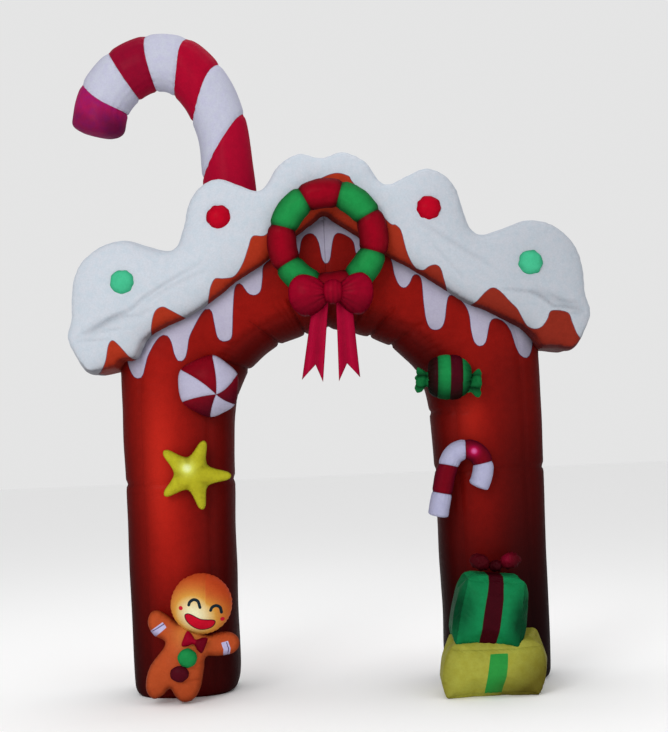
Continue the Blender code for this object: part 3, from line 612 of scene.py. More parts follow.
# The icing's lower edge from left to right: x, z
ICING_EDGE = (
    (-1.300, 1.440), (-1.100, 1.450), (-1.046, 1.466), (-1.015, 1.486), (-0.993, 1.523),
    (-0.977, 1.585), (-0.958, 1.610), (-0.935, 1.592), (-0.911, 1.562), (-0.887, 1.531),
    (-0.862, 1.521), (-0.836, 1.533), (-0.813, 1.574), (-0.794, 1.625), (-0.778, 1.691),
    (-0.760, 1.732), (-0.729, 1.748), (-0.697, 1.733), (-0.651, 1.706), (-0.614, 1.690),
    (-0.571, 1.702), (-0.544, 1.733), (-0.524, 1.790), (-0.514, 1.827), (-0.492, 1.863),
    (-0.458, 1.863), (-0.407, 1.873), (-0.366, 1.927), (-0.338, 1.994), (-0.315, 2.043),
    (-0.251, 2.053), (-0.170, 2.190), (0.027, 2.300), (0.115, 2.295), (0.142, 2.256),
    (0.282, 2.084), (0.316, 2.066), (0.340, 2.039), (0.358, 1.963), (0.377, 1.911),
    (0.401, 1.876), (0.434, 1.863), (0.460, 1.878), (0.490, 1.882), (0.510, 1.863),
    (0.525, 1.811), (0.547, 1.752), (0.588, 1.711), (0.630, 1.699), (0.664, 1.713),
    (0.700, 1.749), (0.734, 1.769), (0.767, 1.751), (0.807, 1.706), (0.840, 1.671),
    (0.864, 1.627), (0.887, 1.593), (0.920, 1.579), (0.950, 1.590), (0.973, 1.623),
    (0.991, 1.656), (1.063, 1.645), (1.082, 1.601), (1.112, 1.540), (1.160, 1.525),
    (1.300, 1.520),
)
ICING_TOP = ((1.400, 2.700), (-1.400, 2.700))
# The folds: the depth and the width of each, then its line from the eave: x, z
ROOF_FOLDS = (
    (0.010, 0.024, ((-1.095, 1.632), (-0.985, 1.684), (-0.880, 1.722))),
    (
        0.010,
        0.007,
        (
            (-1.130, 1.624), (-1.012, 1.675), (-0.940, 1.713), (-0.870, 1.739), (-0.791, 1.800),
            (-0.647, 1.885), (-0.535, 1.943),
        ),
    ),
    (0.007, 0.006, ((-1.020, 1.647), (-0.966, 1.652), (-0.905, 1.662))),
    (
        0.007,
        0.007,
        ((-1.060, 1.652), (-0.969, 1.698), (-0.906, 1.712), (-0.836, 1.712), (-0.770, 1.742)),
    ),
    (0.006, 0.006, ((-1.130, 1.612), (-1.042, 1.612), (-0.950, 1.610))),
    (0.005, 0.010, ((-0.800, 1.770), (-0.650, 1.850), (-0.520, 1.900))),
    (0.008, 0.022, ((1.150, 1.660), (1.060, 1.684), (0.980, 1.722), (0.900, 1.752))),
    (
        0.011,
        0.007,
        (
            (0.766, 1.762), (0.907, 1.740), (0.965, 1.708), (1.005, 1.676), (1.073, 1.669),
            (1.150, 1.645),
        ),
    ),
    (0.007, 0.006, ((1.130, 1.690), (1.060, 1.694), (0.990, 1.726))),
    (0.006, 0.006, ((1.140, 1.640), (1.080, 1.642), (1.010, 1.650))),
    (0.006, 0.012, ((0.760, 1.850), (0.600, 1.960), (0.480, 2.040), (0.400, 2.090))),
    (0.004, 0.009, ((0.620, 1.800), (0.520, 1.920), (0.440, 2.020))),
)


def panel(name, outline, spacing):
    """Cut a flat panel: an even net of triangles inside a closed outline."""
    low, high = outline.min(axis=0), outline.max(axis=0)
    rows = np.arange(low[1] + spacing / 3, high[1], spacing * math.sqrt(0.75))
    x, z = np.meshgrid(np.arange(low[0], high[0], spacing), rows)
    x[::2] += spacing / 2
    net = np.column_stack([x.ravel(), z.ravel()])
    net = net[from_outline(net, outline)[0] > 0.6 * spacing]
    rim = [(k, (k + 1) % len(outline)) for k in range(len(outline))]
    points = [Vector(point) for point in np.vstack([outline, net])]
    points, _, triangles = delaunay_2d_cdt(points, rim, [], 1, 1e-7)[:3]
    mesh = bpy.data.meshes.new(name)
    mesh.from_pydata([(x, 0, z) for x, z in points], [], triangles)
    return mesh


def lift_of(mesh, held):
    """How high air lifts each point of a flat panel that is held at its rim, as a share of the
    highest: the height h for which the cloth's pull balances the air's push, by conjugate
    gradients, and drawn up to a round rim."""
    flat = points_of(mesh)[:, ::2]
    corners = corners_of(mesh).reshape(-1, 3)
    ends, pulls, load = [], [], np.zeros(len(flat))
    for a, b, c in ((0, 1, 2), (1, 2, 0), (2, 0, 1)):
        u = flat[corners[:, a]] - flat[corners[:, c]]
        v = flat[corners[:, b]] - flat[corners[:, c]]
        twice_area = np.abs(u[:, 0] * v[:, 1] - u[:, 1] * v[:, 0]) + 1e-12
        ends.append(corners[:, (a, b)])
        pulls.append(0.5 * (u * v).sum(1) / twice_area)
        load += np.bincount(corners[:, c], twice_area / 6, len(flat))
    (one, other), pull = np.concatenate(ends).T, np.concatenate(pulls)
    stiff = np.bincount(one, pull, len(flat)) + np.bincount(other, pull, len(flat))
    stiff[held] = 1
    lift, rest = np.zeros(len(flat)), np.where(held, 0, load)
    ready = rest / stiff
    way, worth = ready.copy(), rest @ ready
    enough = 1e-9 * worth
    for _ in range(900):
        pulled = pull * (way[one] - way[other])
        answer = np.bincount(one, pulled, len(flat)) - np.bincount(other, pulled, len(flat))
        answer[held] = 0
        step = worth / (way @ answer)
        lift += step * way
        rest = rest - step * answer
        ready = rest / stiff
        better = rest @ ready
        if better < enough:
            break
        way, worth = ready + way * better / worth, better
    return np.sqrt(np.clip(lift / lift.max(), 0, 1))


def outwards(outline):
    """The way out of a closed outline at each of its points."""
    beside = np.roll(outline, -1, axis=0) - np.roll(outline, 1, axis=0)
    beside /= np.linalg.norm(beside, axis=1)[:, None]
    return np.column_stack([beside[:, 1], -beside[:, 0]]) * np.sign(polygon_area(outline))


def pillow(name, outline, crown, spacing, edge=0.0):
    """Two panels cut to an outline and blown up to a crown, sewn to each other or to a strip
    that is 2 * edge wide. Notes how deep inside its seam each point lies, and how far round."""
    mesh = panel(name, outline, spacing)
    flat = points_of(mesh)[:, ::2]
    rim, around = from_outline(flat, outline)
    held = np.arange(len(flat)) < len(outline)
    note(mesh, "rim", rim)
    note(mesh, "around", around)
    for fact, side in zip(("out_x", "out_z"), outwards(outline).T):
        note(mesh, fact, np.append(side, np.zeros(len(flat) - len(outline))))
    cut_cloth(mesh, flat[corners_of(mesh)])
    lift = edge + crown * lift_of(mesh, held)
    set_points(mesh, np.column_stack([flat[:, 0], -lift, flat[:, 1]]))
    shape = bmesh.new()
    shape.from_mesh(mesh)
    copies = bmesh.ops.duplicate(shape, geom=shape.verts[:] + shape.edges[:] + shape.faces[:])
    back = [part for part in copies["geom"] if isinstance(part, bmesh.types.BMVert)]
    bmesh.ops.scale(shape, vec=(1, -1, 1), verts=back)
    if edge:
        open_edges = [line for line in shape.edges if line.is_boundary]
        strip = bmesh.ops.bridge_loops(shape, edges=open_edges)["edges"]
        cuts = round(2 * edge / spacing)
        bmesh.ops.subdivide_edges(shape, edges=strip, cuts=cuts, use_grid_fill=True)
    shape.to_mesh(mesh)
    shape.free()
    return sewn_up(mesh)


def straight(corners, step):
    """Points at an even step along the straight sides between corners, closed."""
    corners = np.array(corners, float)
    sides = []
    for start, end in zip(corners, np.roll(corners, -1, axis=0)):
        count = max(1, round(np.linalg.norm(end - start) / step))
        sides.append(start + (end - start) * (np.arange(count) / count)[:, None])
    return np.vstack(sides)


def placed(mesh, place, turn_deg=0.0, lean_deg=0.0):
    """Turn a form anticlockwise in the front plane, lean its top back, and put it in place."""
    turn = Matrix.Rotation(-math.radians(turn_deg), 4, "Y")
    lean = Matrix.Rotation(-math.radians(lean_deg), 4, "X")
    mesh.transform(Matrix.Translation(place) @ lean @ turn)
    mesh.update()
    return mesh


left_half = [(-x, z) for x, z in ROOF_OUTLINE[1:ROOF_LIP]] + list(ROOF_LEFT_LIP)
outline = smooth_line(list(ROOF_OUTLINE) + left_half[::-1], ROOF_GRID, closed=True)
drawn_in = outline - outwards(outline) * ROOF_BULGE
roof = pillow("roof", drawn_in, ROOF_CROWN, ROOF_GRID, ROOF_EDGE)
places = points_of(roof)
depth = np.abs(places[:, 1])
on_strip = depth < ROOF_EDGE
off_seam = np.where(on_strip, ROOF_EDGE - depth, noted(roof, "rim"))
bulge = ROOF_BULGE * (1 - (depth / ROOF_EDGE) ** 4) * on_strip
places[:, 0] += noted(roof, "out_x") * bulge
places[:, 2] += noted(roof, "out_z") * bulge
set_points(roof, places)
placed(roof, (ROOF_SHIFT, 0, 0), ROOF_TILT_DEG)
places = points_of(roof)
folded = folded_in(places, ROOF_FOLDS, 0.5) * (places[:, 1] < -ROOF_EDGE)
creases = gathers(noted(roof, "around"), off_seam, *ROOF_GATHERS, 11) + folded
swell = uneven(places, *ROOF_LUMPS, 4) + uneven(places, *ROOF_WAVES, 7)
push(roof, swell - creases - groove(off_seam, *ROOF_PINCH))
note(roof, "seam", off_seam + SEAM_LINE / 2)
icing = np.vstack([smooth_line(ICING_EDGE, 0.010), ICING_TOP])
x, y, z = points_of(roof).T
ginger = -from_outline(np.column_stack([x, z]), icing)[0]
note(roof, "gingerbread", ginger)
lip_x, lip_z = np.array(sorted(ROOF_OUTLINE[ROOF_LIP:] + ROOF_LEFT_LIP)).T
# Painted shade in the folds, above the lip, under the strip and towards the right.
share, reach = LIP_DARK
above_lip = np.clip(z - np.interp(x - ROOF_SHIFT, lip_x, lip_z), 0, None)
lip_dark = share * np.exp(-above_lip / reach) * ramp(np.abs(x), lip_x[-1] + 0.01, lip_x[-1] - 0.09)
underneath = 1.4 * np.clip(-noted(roof, "out_z") - 0.3, 0, 0.45) * on_strip
shade = np.clip(14 * folded, 0, 0.22) + np.maximum(lip_dark, underneath)
shade += ICING_DARK[0] * ramp(x, *ICING_DARK[1:])
ginger_dark = GINGER_DARK[0] * ramp(x, *GINGER_DARK[1:]) * (ginger > 0)
note(roof, "shade", 1 - (1 - shade) * (1 - ginger_dark))
# The roof shades the tube just under its lip.
x, y, z = points_of(tube).T
share, reach = UNDER_LIP_DARK
below_lip = np.clip(np.interp(x - ROOF_SHIFT, lip_x, lip_z) - z, 0, None)
shade = 1 - (1 - noted(tube, "shade")) * (1 - share * np.exp(-below_lip / reach))
note(tube, "shade", shade)
roof_taffeta = polyester(
    "icing_taffeta",
    "bfc2ca",
    "b1bdc7",
    [("gingerbread", "a6321c", "982c16", "6a4a5c")],
    dark="28141a",
)
roof_front = carrier_of(points_of(roof), roof)
dress(roof, roof_taffeta, "roof")


# ---------------------------------------------------------------------------------------------
# The large cane. Slanted rings of white and crimson cloth, sewn into one tube that bends over
# and is closed by a domed end. Its foot goes down into the roof.
# ---------------------------------------------------------------------------------------------

CANE_ROUTE = (
    (-0.424, 2.200), (-0.436, 2.420), (-0.455, 2.590), (-0.520, 2.760), (-0.635, 2.882),
    (-0.775, 2.900), (-0.905, 2.840), (-0.995, 2.730), (-1.034, 2.570),
)
CANE_TUBE = 0.127
CANE_TIP = 0.060  # how long its domed end is
CANE_GRID = 0.007
# How far along it, and how much wider its tube is there
CANE_SWELL = (
    (0.00, -0.003), (0.30, -0.009), (0.50, -0.005), (0.75, 0.007), (1.05, 0.004), (1.25, -0.003),
)
CANE_GATHERS = (0.005, 0.045)  # depth, spacing
CANE_PINCH = 0.006
# Where each seam crosses the outer side, the middle and the inner side, from the route's start
CANE_SEAMS = (
    (0.417, 0.327, 0.165),
    (0.627, 0.588, 0.466),
    (0.757, 0.746, 0.665),
    (0.881, 0.892, 0.879),
    (1.014, 1.028, 1.041),
    (1.150, 1.187, 1.199),
)


DOME = 2.6  # 2 would make the closed ends round, and more makes them blunt


def hook(name, route, radius, tip, grid, foot_tip=0.0):
    """A round tube along a line in the front plane, domed at its end and perhaps at its foot.
    Notes how far along and how far round it each point lies."""
    line = smooth_line(route, grid)
    away = np.gradient(line, axis=0)
    away /= np.linalg.norm(away, axis=1)[:, None]
    length = walked_along(line)[-1]

    def form(u, v):
        turn = math.tau * u + math.pi / 2
        index = v * (len(line) - 1)
        left = ramp((1 - v) * length, 0, tip)
        if foot_tip:
            left = np.minimum(left, ramp(v * length, 0, foot_tip))
        reach = radius * (1 - (1 - left) ** DOME) ** (1 / DOME)
        x, z, step_x, step_z = between_rows(np.column_stack([line, away]), index)
        side = reach * np.cos(turn)
        places = np.column_stack([x + step_z * side, reach * np.sin(turn), z - step_x * side])
        return places, {"along": v * length, "turn": turn}

    around = round(math.tau * radius / grid)
    return rolled(name, around, len(line) - 1, (math.tau * radius, length), form)


def seams_past(mesh, seams):
    """How far along past each slanted seam the points of a hook lie."""
    outer, middle, inner = np.array(seams).T[:, :, None]
    even = (outer + inner) / 2
    turn = noted(mesh, "turn")
    at = even + (outer - inner) / 2 * np.cos(turn) + (middle - even) * np.sin(turn) ** 2
    return noted(mesh, "along") - at


def between(past, *bands):
    """How far inside the bands between pairs of seams points lie."""
    return np.maximum.reduce([np.minimum(past[low], -past[high]) for low, high in bands])


def sew_rings(mesh, past, radius, depth, pitch, pinch):
    """Draw a hook's cloth in at its ring seams, and gather it beside them."""
    off_seam = np.abs(past).min(0)
    creases = gathers(noted(mesh, "turn") * radius, off_seam, depth, pitch, 0.9 * pitch, 21)
    lumps = uneven(points_of(mesh), 0.3 * depth, 2 * pitch)
    push(mesh, lumps - creases - groove(off_seam, pinch, 2 * pinch))
    note(mesh, "seam", off_seam)


cane = hook("cane_large", CANE_ROUTE, CANE_TUBE, CANE_TIP, CANE_GRID)
past = seams_past(cane, CANE_SEAMS)
note(cane, "red", np.maximum(-past[0], between(past, (1, 2), (3, 4))))
note(cane, "end", past[5])
push(cane, np.interp(noted(cane, "along"), *np.array(CANE_SWELL).T))
sew_rings(cane, past, CANE_TUBE, *CANE_GATHERS, CANE_PINCH)
# Painted shade on the domed end, towards its right and its end, and on the sides that turn away;
# the band between the fourth and fifth seams is darker.
right_of_tip = points_of(cane)[:, 0] - CANE_ROUTE[-1][0]
tip_dark = 0.7 * ramp(past[5], 0, 0.09) * ramp(right_of_tip, -0.06, 0.07)
foot_dark = 0.45 * ramp(past[5], 0.055, 0.100)
band_dark = 0.35 * (between(past, (3, 4)) > 0)
side_dark = 0.22 * np.abs(np.cos(noted(cane, "turn"))) ** 4
note(cane, "shade", np.maximum.reduce([tip_dark, foot_dark, band_dark, side_dark]))
cane_taffeta = polyester(
    "cane_taffeta",
    "b5b8c5",
    "aeadc4",
    [("red", "a00628", "920626", None), ("end", "a01448", "861860", None)],
    dark="2a0a24",
)
dress(cane, cane_taffeta, "cane_large")


# ---------------------------------------------------------------------------------------------
# The gumdrops. Four small puffs on the roof, each of one round of cloth that is gathered round
# its rim and sewn down.
# ---------------------------------------------------------------------------------------------

GUMDROPS = {
    "gumdrop_outer_left": "green",
    "gumdrop_inner_left": "crimson",
    "gumdrop_inner_right": "crimson",
    "gumdrop_outer_right": "green",
}
GUMDROP_RADII = (0.056, 0.046, 0.056)
GUMDROP_GRID = 0.003
GUMDROP_LOBES = (9, 0.022)  # how many round its rim, and how high
GUMDROP_LUMPS = (0.004, 0.025)


def puff(name, place, radii, grid, lobes=0, scallop=0.0):
    """A round pad with its poles at the front and the back, and perhaps a scalloped rim. Notes
    how far round and how far from the front pole each point lies, as angles."""

    def form(u, v):
        turn, tip = math.tau * u, math.pi * v
        ring = np.sin(tip) * (1 + scallop * np.cos(lobes * turn) * np.sin(tip) ** 4)
        unit = np.column_stack([ring * np.sin(turn), -np.cos(tip), -ring * np.cos(turn)])
        return unit * radii + place, {"turn": turn, "tip": tip}

    widest = max(radii)
    size = (math.tau * widest, math.pi * widest)
    return rolled(name, round(size[0] / grid), round(size[1] / grid), size, form)


def towards_rim(mesh):
    """0 at the poles of a round pad and 1 at its rim."""
    return np.sin(noted(mesh, "tip"))


def middle_of(node):
    """The middle of a solid's box, about the arch's own middle plane."""
    return np.mean(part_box(node), axis=0) - (0, SET_BACK, 0)


crimson_taffeta = polyester("crimson_taffeta", "900322", "7e021c", dark="1c0208")
bright_green = polyester("bright_green_taffeta", "44b488", "3aa87c", dark="0a4a34")
bright_red = polyester("bright_red_taffeta", "b20420", "9e021c", dark="3a0210")
for node, colour in GUMDROPS.items():
    place = middle_of(node)
    place[1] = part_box(node)[0][1] - SET_BACK + GUMDROP_RADII[1]
    drop = puff(node, place, GUMDROP_RADII, GUMDROP_GRID, *GUMDROP_LOBES)
    rim = towards_rim(drop) ** 6
    # Painted shade towards the rim, where the pad turns away.
    note(drop, "shade", 0.5 * rim)
    push(drop, uneven(points_of(drop), *GUMDROP_LUMPS, 31) * (0.3 + rim))
    dress(drop, bright_green if colour == "green" else bright_red, node)


# ---------------------------------------------------------------------------------------------
# The wreath. Eight tapered panels, green and crimson by turns, sewn into a ring that lies on
# the roof at its top and against the tube at its foot.
# ---------------------------------------------------------------------------------------------

WREATH_CENTRE = (0.015, 2.011)
WREATH_RADIUS = 0.204
WREATH_TUBE = 0.064
WREATH_PANELS = 8
WREATH_FIRST_SEAM_DEG = 28  # anticlockwise from the top
WREATH_TOP_Y = -0.372
WREATH_BOTTOM_Y = -0.292
WREATH_GRID = 0.005
WREATH_GATHERS = (0.004, 0.026, 0.022)  # depth, spacing, length
WREATH_PINCH = (0.007, 0.012)
WREATH_DRAW = (0.004, 0.05)  # how far each panel narrows to its seams, over what length
WREATH_LUMPS = (0.002, 0.05)
WREATH_SWELL = 0.003
WREATH_DARK = 0.62  # painted shade on its sides
# Painted shade beside its seams: how much, how far out
WREATH_SEAM_DARK = (0.45, 0.012)
BEFORE_ALL_Y = -2


def press(mesh, *carriers):
    """Flatten what would lie inside a carrier against its front."""
    places = points_of(mesh)
    for carrier in carriers:
        for place in places:
            hit = carrier.ray_cast((place[0], BEFORE_ALL_Y, place[2]), (0, 1, 0))[0]
            if hit and hit.y < place[1]:
                place[1] = hit.y
    set_points(mesh, places)


def wreath_form(u, v):
    turn, side = math.tau * v, math.tau * u + math.pi / 2
    reach = WREATH_RADIUS + WREATH_TUBE * np.cos(side)
    middle_y = WREATH_BOTTOM_Y + (WREATH_TOP_Y - WREATH_BOTTOM_Y) * (1 + np.cos(turn)) / 2
    x = WREATH_CENTRE[0] - np.sin(turn) * reach
    y = middle_y + WREATH_TUBE * np.sin(side)
    z = WREATH_CENTRE[1] + np.cos(turn) * reach
    return np.column_stack([x, y, z]), {"turn": turn, "side": side}


wreath_cut = (math.tau * WREATH_TUBE, math.tau * WREATH_RADIUS)
around = round(wreath_cut[0] / WREATH_GRID)
along = round(wreath_cut[1] / WREATH_GRID / WREATH_PANELS) * WREATH_PANELS
wreath = rolled("wreath", around, along, wreath_cut, wreath_form)
places = points_of(wreath)
turn, side = noted(wreath, "turn"), noted(wreath, "side")
arc = math.tau / WREATH_PANELS
past = (turn - math.radians(WREATH_FIRST_SEAM_DEG)) / arc
off_seam = np.abs(past - np.round(past)) * arc * (WREATH_RADIUS + WREATH_TUBE * np.cos(side))
note(wreath, "red", np.where(np.floor(past) % 2 == 1, off_seam, -off_seam))
creases = gathers(side * WREATH_TUBE, off_seam, *WREATH_GATHERS, 41)
sunk = groove(off_seam, *WREATH_PINCH) + WREATH_DRAW[0] * np.exp(-off_seam / WREATH_DRAW[1])
push(wreath, uneven(places, *WREATH_LUMPS, 43) + WREATH_SWELL - creases - sunk)
note(wreath, "seam", off_seam)
# Painted shade on the sides that turn away, and beside the seams.
turned_away = np.where(np.sin(side) < 0, np.cos(side) ** 2, 1)
share, reach = WREATH_SEAM_DARK
shade = share * np.exp(-off_seam / reach) + WREATH_DARK * turned_away
note(wreath, "shade", np.clip(shade, 0, 0.80))
press(wreath, roof_front, tube_front)
wreath_taffeta = polyester(
    "wreath_taffeta", "1f8c46", "187c3c", [("red", "8e021a", "7c0216", None)], dark="100c08"
)
dress(wreath, wreath_taffeta, "wreath")


# ---------------------------------------------------------------------------------------------
# The wreath's bow. Two blown-up loops and a knot of crimson cloth, and two swallow tails, each
# one flat doubled strip, that hang from behind the knot.
# ---------------------------------------------------------------------------------------------

BOW_KNOT = (0.028, -0.405, 1.777)
BOW_KNOT_RADII = (0.050, 0.045, 0.056)
BOW_KNOT_GRID = 0.0035
BOW_KNOT_PLEATS = (0.0015, 0.021)  # depth, spacing
BOW_LOOP_PLACE = (0.028, -0.385, 1.772)
BOW_LOOP_CROWN = 0.062
BOW_GRID = 0.005
BOW_LOOP = (  # the right loop from the knot: x, z
    (0.012, 0.018), (0.060, 0.075), (0.118, 0.092), (0.158, 0.050),
    (0.160, -0.030), (0.120, -0.090), (0.062, -0.080), (0.012, -0.022),
)
# side, how much longer it is, turn in degrees
BOW_LOOPS = {"bow_loop_left": (-1, 1.20, 2), "bow_loop_right": (1, 1.08, -3)}
BOW_FAN_RADIUS = 0.10  # where the spacing of the creases that fan out from the knot is measured
BOW_FAN = (0.011, 0.026, 0.055)  # depth, spacing, length
BOW_GATHERS = (0.003, 0.022, 0.014)
RIM_EASE = 0.010  # how wide a pad's rim is where its creases begin


def rim_gathers(mesh, depth, pitch, reach, seed):
    """The creases that run in from the rim of a flat pad."""
    return gathers(noted(mesh, "around"), noted(mesh, "rim"), depth, pitch, reach, seed)


def sew_rim(mesh, amounts):
    """Move the points of a flat pad out, and leave its rim, where its panels are sewn."""
    rim = noted(mesh, "rim")
    push(mesh, amounts * ramp(rim, 0, RIM_EASE))
    note(mesh, "seam", np.abs(rim))


knot = puff("bow_knot", BOW_KNOT, BOW_KNOT_RADII, BOW_KNOT_GRID)
places = points_of(knot)
rim = towards_rim(knot)
depth, pitch = BOW_KNOT_PLEATS
pleat = np.cos(math.tau * (places[:, 0] - BOW_KNOT[0]) / pitch + uneven(places, 2, 0.05, 51))
push(knot, -depth * (0.5 + 0.5 * pleat) * np.abs(rim))
# Painted shade over the knot, more at its foot, in its pleats and at its rim.
low = 0.30 * ramp(BOW_KNOT[2] - places[:, 2], 0, 0.05)
note(knot, "shade", 0.12 + 0.08 * pleat + low + 0.3 * rim**6)
dress(knot, crimson_taffeta, "bow_knot")
for node, (side, longer, turn_deg) in BOW_LOOPS.items():
    outline = smooth_line([(x * side * longer, z) for x, z in BOW_LOOP], BOW_GRID, closed=True)
    loop = pillow(node, outline, BOW_LOOP_CROWN, BOW_GRID)
    places = points_of(loop)
    reach = np.hypot(places[:, 0], places[:, 2])
    angle = np.arctan2(places[:, 2], np.abs(places[:, 0]))
    creases = gathers(angle * BOW_FAN_RADIUS, reach - 0.02, *BOW_FAN, 53 + side)
    creases += rim_gathers(loop, *BOW_GATHERS, 55 + side)
    sew_rim(loop, -creases)
    note(loop, "seam", np.where(reach > BOW_KNOT_RADII[0], noted(loop, "seam"), 1.0))
    # Painted shade at the foot, in the creases and next to the knot.
    low = 0.55 * ramp(places[:, 2], 0.01, -0.08)
    note(loop, "shade", np.clip(low + 90 * creases + 0.5 * np.exp(-reach / 0.03), 0, 0.85))
    placed(loop, BOW_LOOP_PLACE, turn_deg)
    dress(loop, crimson_taffeta, node)

# The flat cut of each tail: its half width at the top and at the foot, its length, the notch
TAIL_CUT = (0.035, 0.048, 0.362, 0.078)
TAIL_CLOTH = 0.003
TAIL_TOP = (-0.372, 1.745)
TAIL_SKEW = 0.014  # how much longer its inner point is
TAIL_DRAWN_IN = 0.985  # its width as it hangs in folds, as a share of its cut's
TAIL_FOLD = (0.003, 0.008)  # depth at the top and at the foot
TAIL_RIPPLE = 0.003
TAIL_CURL = 0.012  # how far its foot comes forward
# node: its middle at the top, its lean to the side at the foot, its fold's phase
BOW_TAILS = {"bow_tail_left": (-0.028, -0.052, 0.2), "bow_tail_right": (0.074, 0.010, 0.9)}
tail_taffeta = polyester("tail_taffeta", "9e062e", "90042a", dark="3a0414")
for node, (middle, lean, phase) in BOW_TAILS.items():
    top, foot, length, notch = TAIL_CUT
    inner = 1 if node.endswith("left") else -1
    left, right = TAIL_SKEW * (1 + inner) / 2, TAIL_SKEW * (1 - inner) / 2
    cut = [(-top, 0), (-foot, left - length), (0.006 * inner, notch - length)]
    outline = straight(cut + [(foot, right - length), (top, 0)], BOW_GRID)
    tail = pillow(node, outline, 0.0, BOW_GRID, TAIL_CLOTH / 2)
    x, y, z = points_of(tail).T
    down = ramp(-z, 0, length)
    across = x / (top + (foot - top) * down)
    fold = np.sin(math.pi * (phase + 1.5 * across)) * np.interp(down, (0, 1), TAIL_FOLD)
    ripple = TAIL_RIPPLE * np.sin(math.tau * (1.4 * down + phase)) * down
    x = x * TAIL_DRAWN_IN + middle + lean * down
    y = y + TAIL_TOP[0] + fold + ripple - TAIL_CURL * down**3
    set_points(tail, np.column_stack([x, y, z + TAIL_TOP[1]]))
    # Painted shade in the folds' hollows.
    note(tail, "shade", 0.30 * ramp(fold, 0, TAIL_FOLD[1]))
    note(tail, "seam", np.abs(noted(tail, "rim")) + 0.001)
    piece = dress(tail, tail_taffeta, node)


# ---------------------------------------------------------------------------------------------
# The round sweet. Two domed panels pieced from six curved gores, crimson and white by turns,
# that swirl out from the middle.
# ---------------------------------------------------------------------------------------------

MINT_PLACE = (-0.545, -0.262, 1.393)
MINT_LEAN_DEG = -4
MINT_OUTLINE = (  # from its middle: x, z; the six seams end at its corners
    (-0.120, 0.076), (-0.052, 0.116), (0.024, 0.134), (0.086, 0.096), (0.132, 0.044),
    (0.133, -0.023), (0.115, -0.090), (0.064, -0.124), (0.002, -0.143), (-0.064, -0.116),
    (-0.120, -0.070), (-0.135, 0.010),
)
MINT_CROWN = 0.085
MINT_GRID = 0.004
MINT_HUB = (0.038, -0.038)  # from its middle
MINT_SWING_DEG = (13, 14, 27, 12, 7, 10)  # how far each seam swings on its way out from the hub
MINT_GATHERS = (0.004, 0.026, 0.026)  # depth, spacing, length
MINT_PINCH = (0.004, 0.008)

outline = smooth_line(MINT_OUTLINE, MINT_GRID, closed=True)
mint = pillow("mint_candy", outline, MINT_CROWN, MINT_GRID)
places = points_of(mint)
off_hub = places[:, ::2] - MINT_HUB
reach = np.linalg.norm(off_hub, axis=1)
out = reach / (reach + noted(mint, "rim") + 1e-6)
angle = np.degrees(np.arctan2(off_hub[:, 1], off_hub[:, 0]))
past = []
for (x, z), swing in zip(MINT_OUTLINE[::2], MINT_SWING_DEG):
    end = math.degrees(math.atan2(z - MINT_HUB[1], x - MINT_HUB[0]))
    off = (angle - (end - swing * (1 - out)) + 180) % 360 - 180
    past.append(np.radians(off) * reach)
past = np.array(past)
nearest = np.abs(past).argmin(0)
at = past[nearest, np.arange(len(reach))]
note(mint, "red", np.where(nearest % 2 == 0, -1, 1) * at)
off_seam = np.abs(at)
sew_rim(mint, -rim_gathers(mint, *MINT_GATHERS, 61) - groove(off_seam, *MINT_PINCH))
note(mint, "seam", np.minimum(off_seam, noted(mint, "seam")))
# Painted shade towards the lower right, deeper on the crimson gores.
low_right = ramp(places[:, 0] * 0.5 - places[:, 2], 0, 0.12)
note(mint, "shade", (0.6 * (noted(mint, "red") > 0) + 0.12) * low_right)
placed(mint, MINT_PLACE, 0, MINT_LEAN_DEG)
press(mint, tube_front)
mint_taffeta = polyester(
    "mint_taffeta", "aca9be", "a3a0b7", [("red", "7a0616", "6a0412", None)], dark="240a18"
)
dress(mint, mint_taffeta, "mint_candy")


# ---------------------------------------------------------------------------------------------
# The star. Two panels of yellow cloth; the air rounds its five blunt arms, and a lamp shines
# through it.
# ---------------------------------------------------------------------------------------------

STAR_PLACE = (-0.630, -0.268, 0.999)
# Each arm's angle, its reach, and the reach of the waist after it
STAR_ARMS = (
    (69.0, 0.149, 0.082),
    (139.0, 0.158, 0.086),
    (213.5, 0.149, 0.074),
    (283.5, 0.152, 0.085),
    (355.5, 0.160, 0.078),
)
STAR_BLUNT_DEG = 5.6
STAR_CROWN = 0.070
STAR_GRID = 0.004
STAR_LAMP = (-0.020, 0.032, 0.021)  # x and z from its middle, size
STAR_LUMPS = (0.0015, 0.03)
STAR_GATHERS = (0.005, 0.024, 0.022)  # depth, spacing, length
STAR_VALLEY = (0.010, 0.011)  # the valley that runs in from each waist: depth, width
STAR_WAIST = 0.083  # how far out it is deepest

corners = []
for tip_deg, tip, waist in STAR_ARMS:
    blunt = [(tip_deg - STAR_BLUNT_DEG, tip), (tip_deg + STAR_BLUNT_DEG, tip)]
    for angle_deg, reach in blunt + [(tip_deg + 36, waist)]:
        angle = math.radians(angle_deg)
        corners.append((reach * math.cos(angle), reach * math.sin(angle)))
star = pillow("star", smooth_line(corners, STAR_GRID, closed=True), STAR_CROWN, STAR_GRID)
places = points_of(star)
reach = np.hypot(places[:, 0], places[:, 2])
angle = np.degrees(np.arctan2(places[:, 2], places[:, 0]))
off_waist = (angle - STAR_ARMS[0][0]) % 72 - 36
off_valley = np.abs(np.radians(off_waist)) * reach
creases = rim_gathers(star, *STAR_GATHERS, 71)
creases += groove(off_valley, *STAR_VALLEY) * ramp(reach, 0, STAR_WAIST) ** 1.5
sew_rim(star, uneven(places, *STAR_LUMPS, 73) - creases)
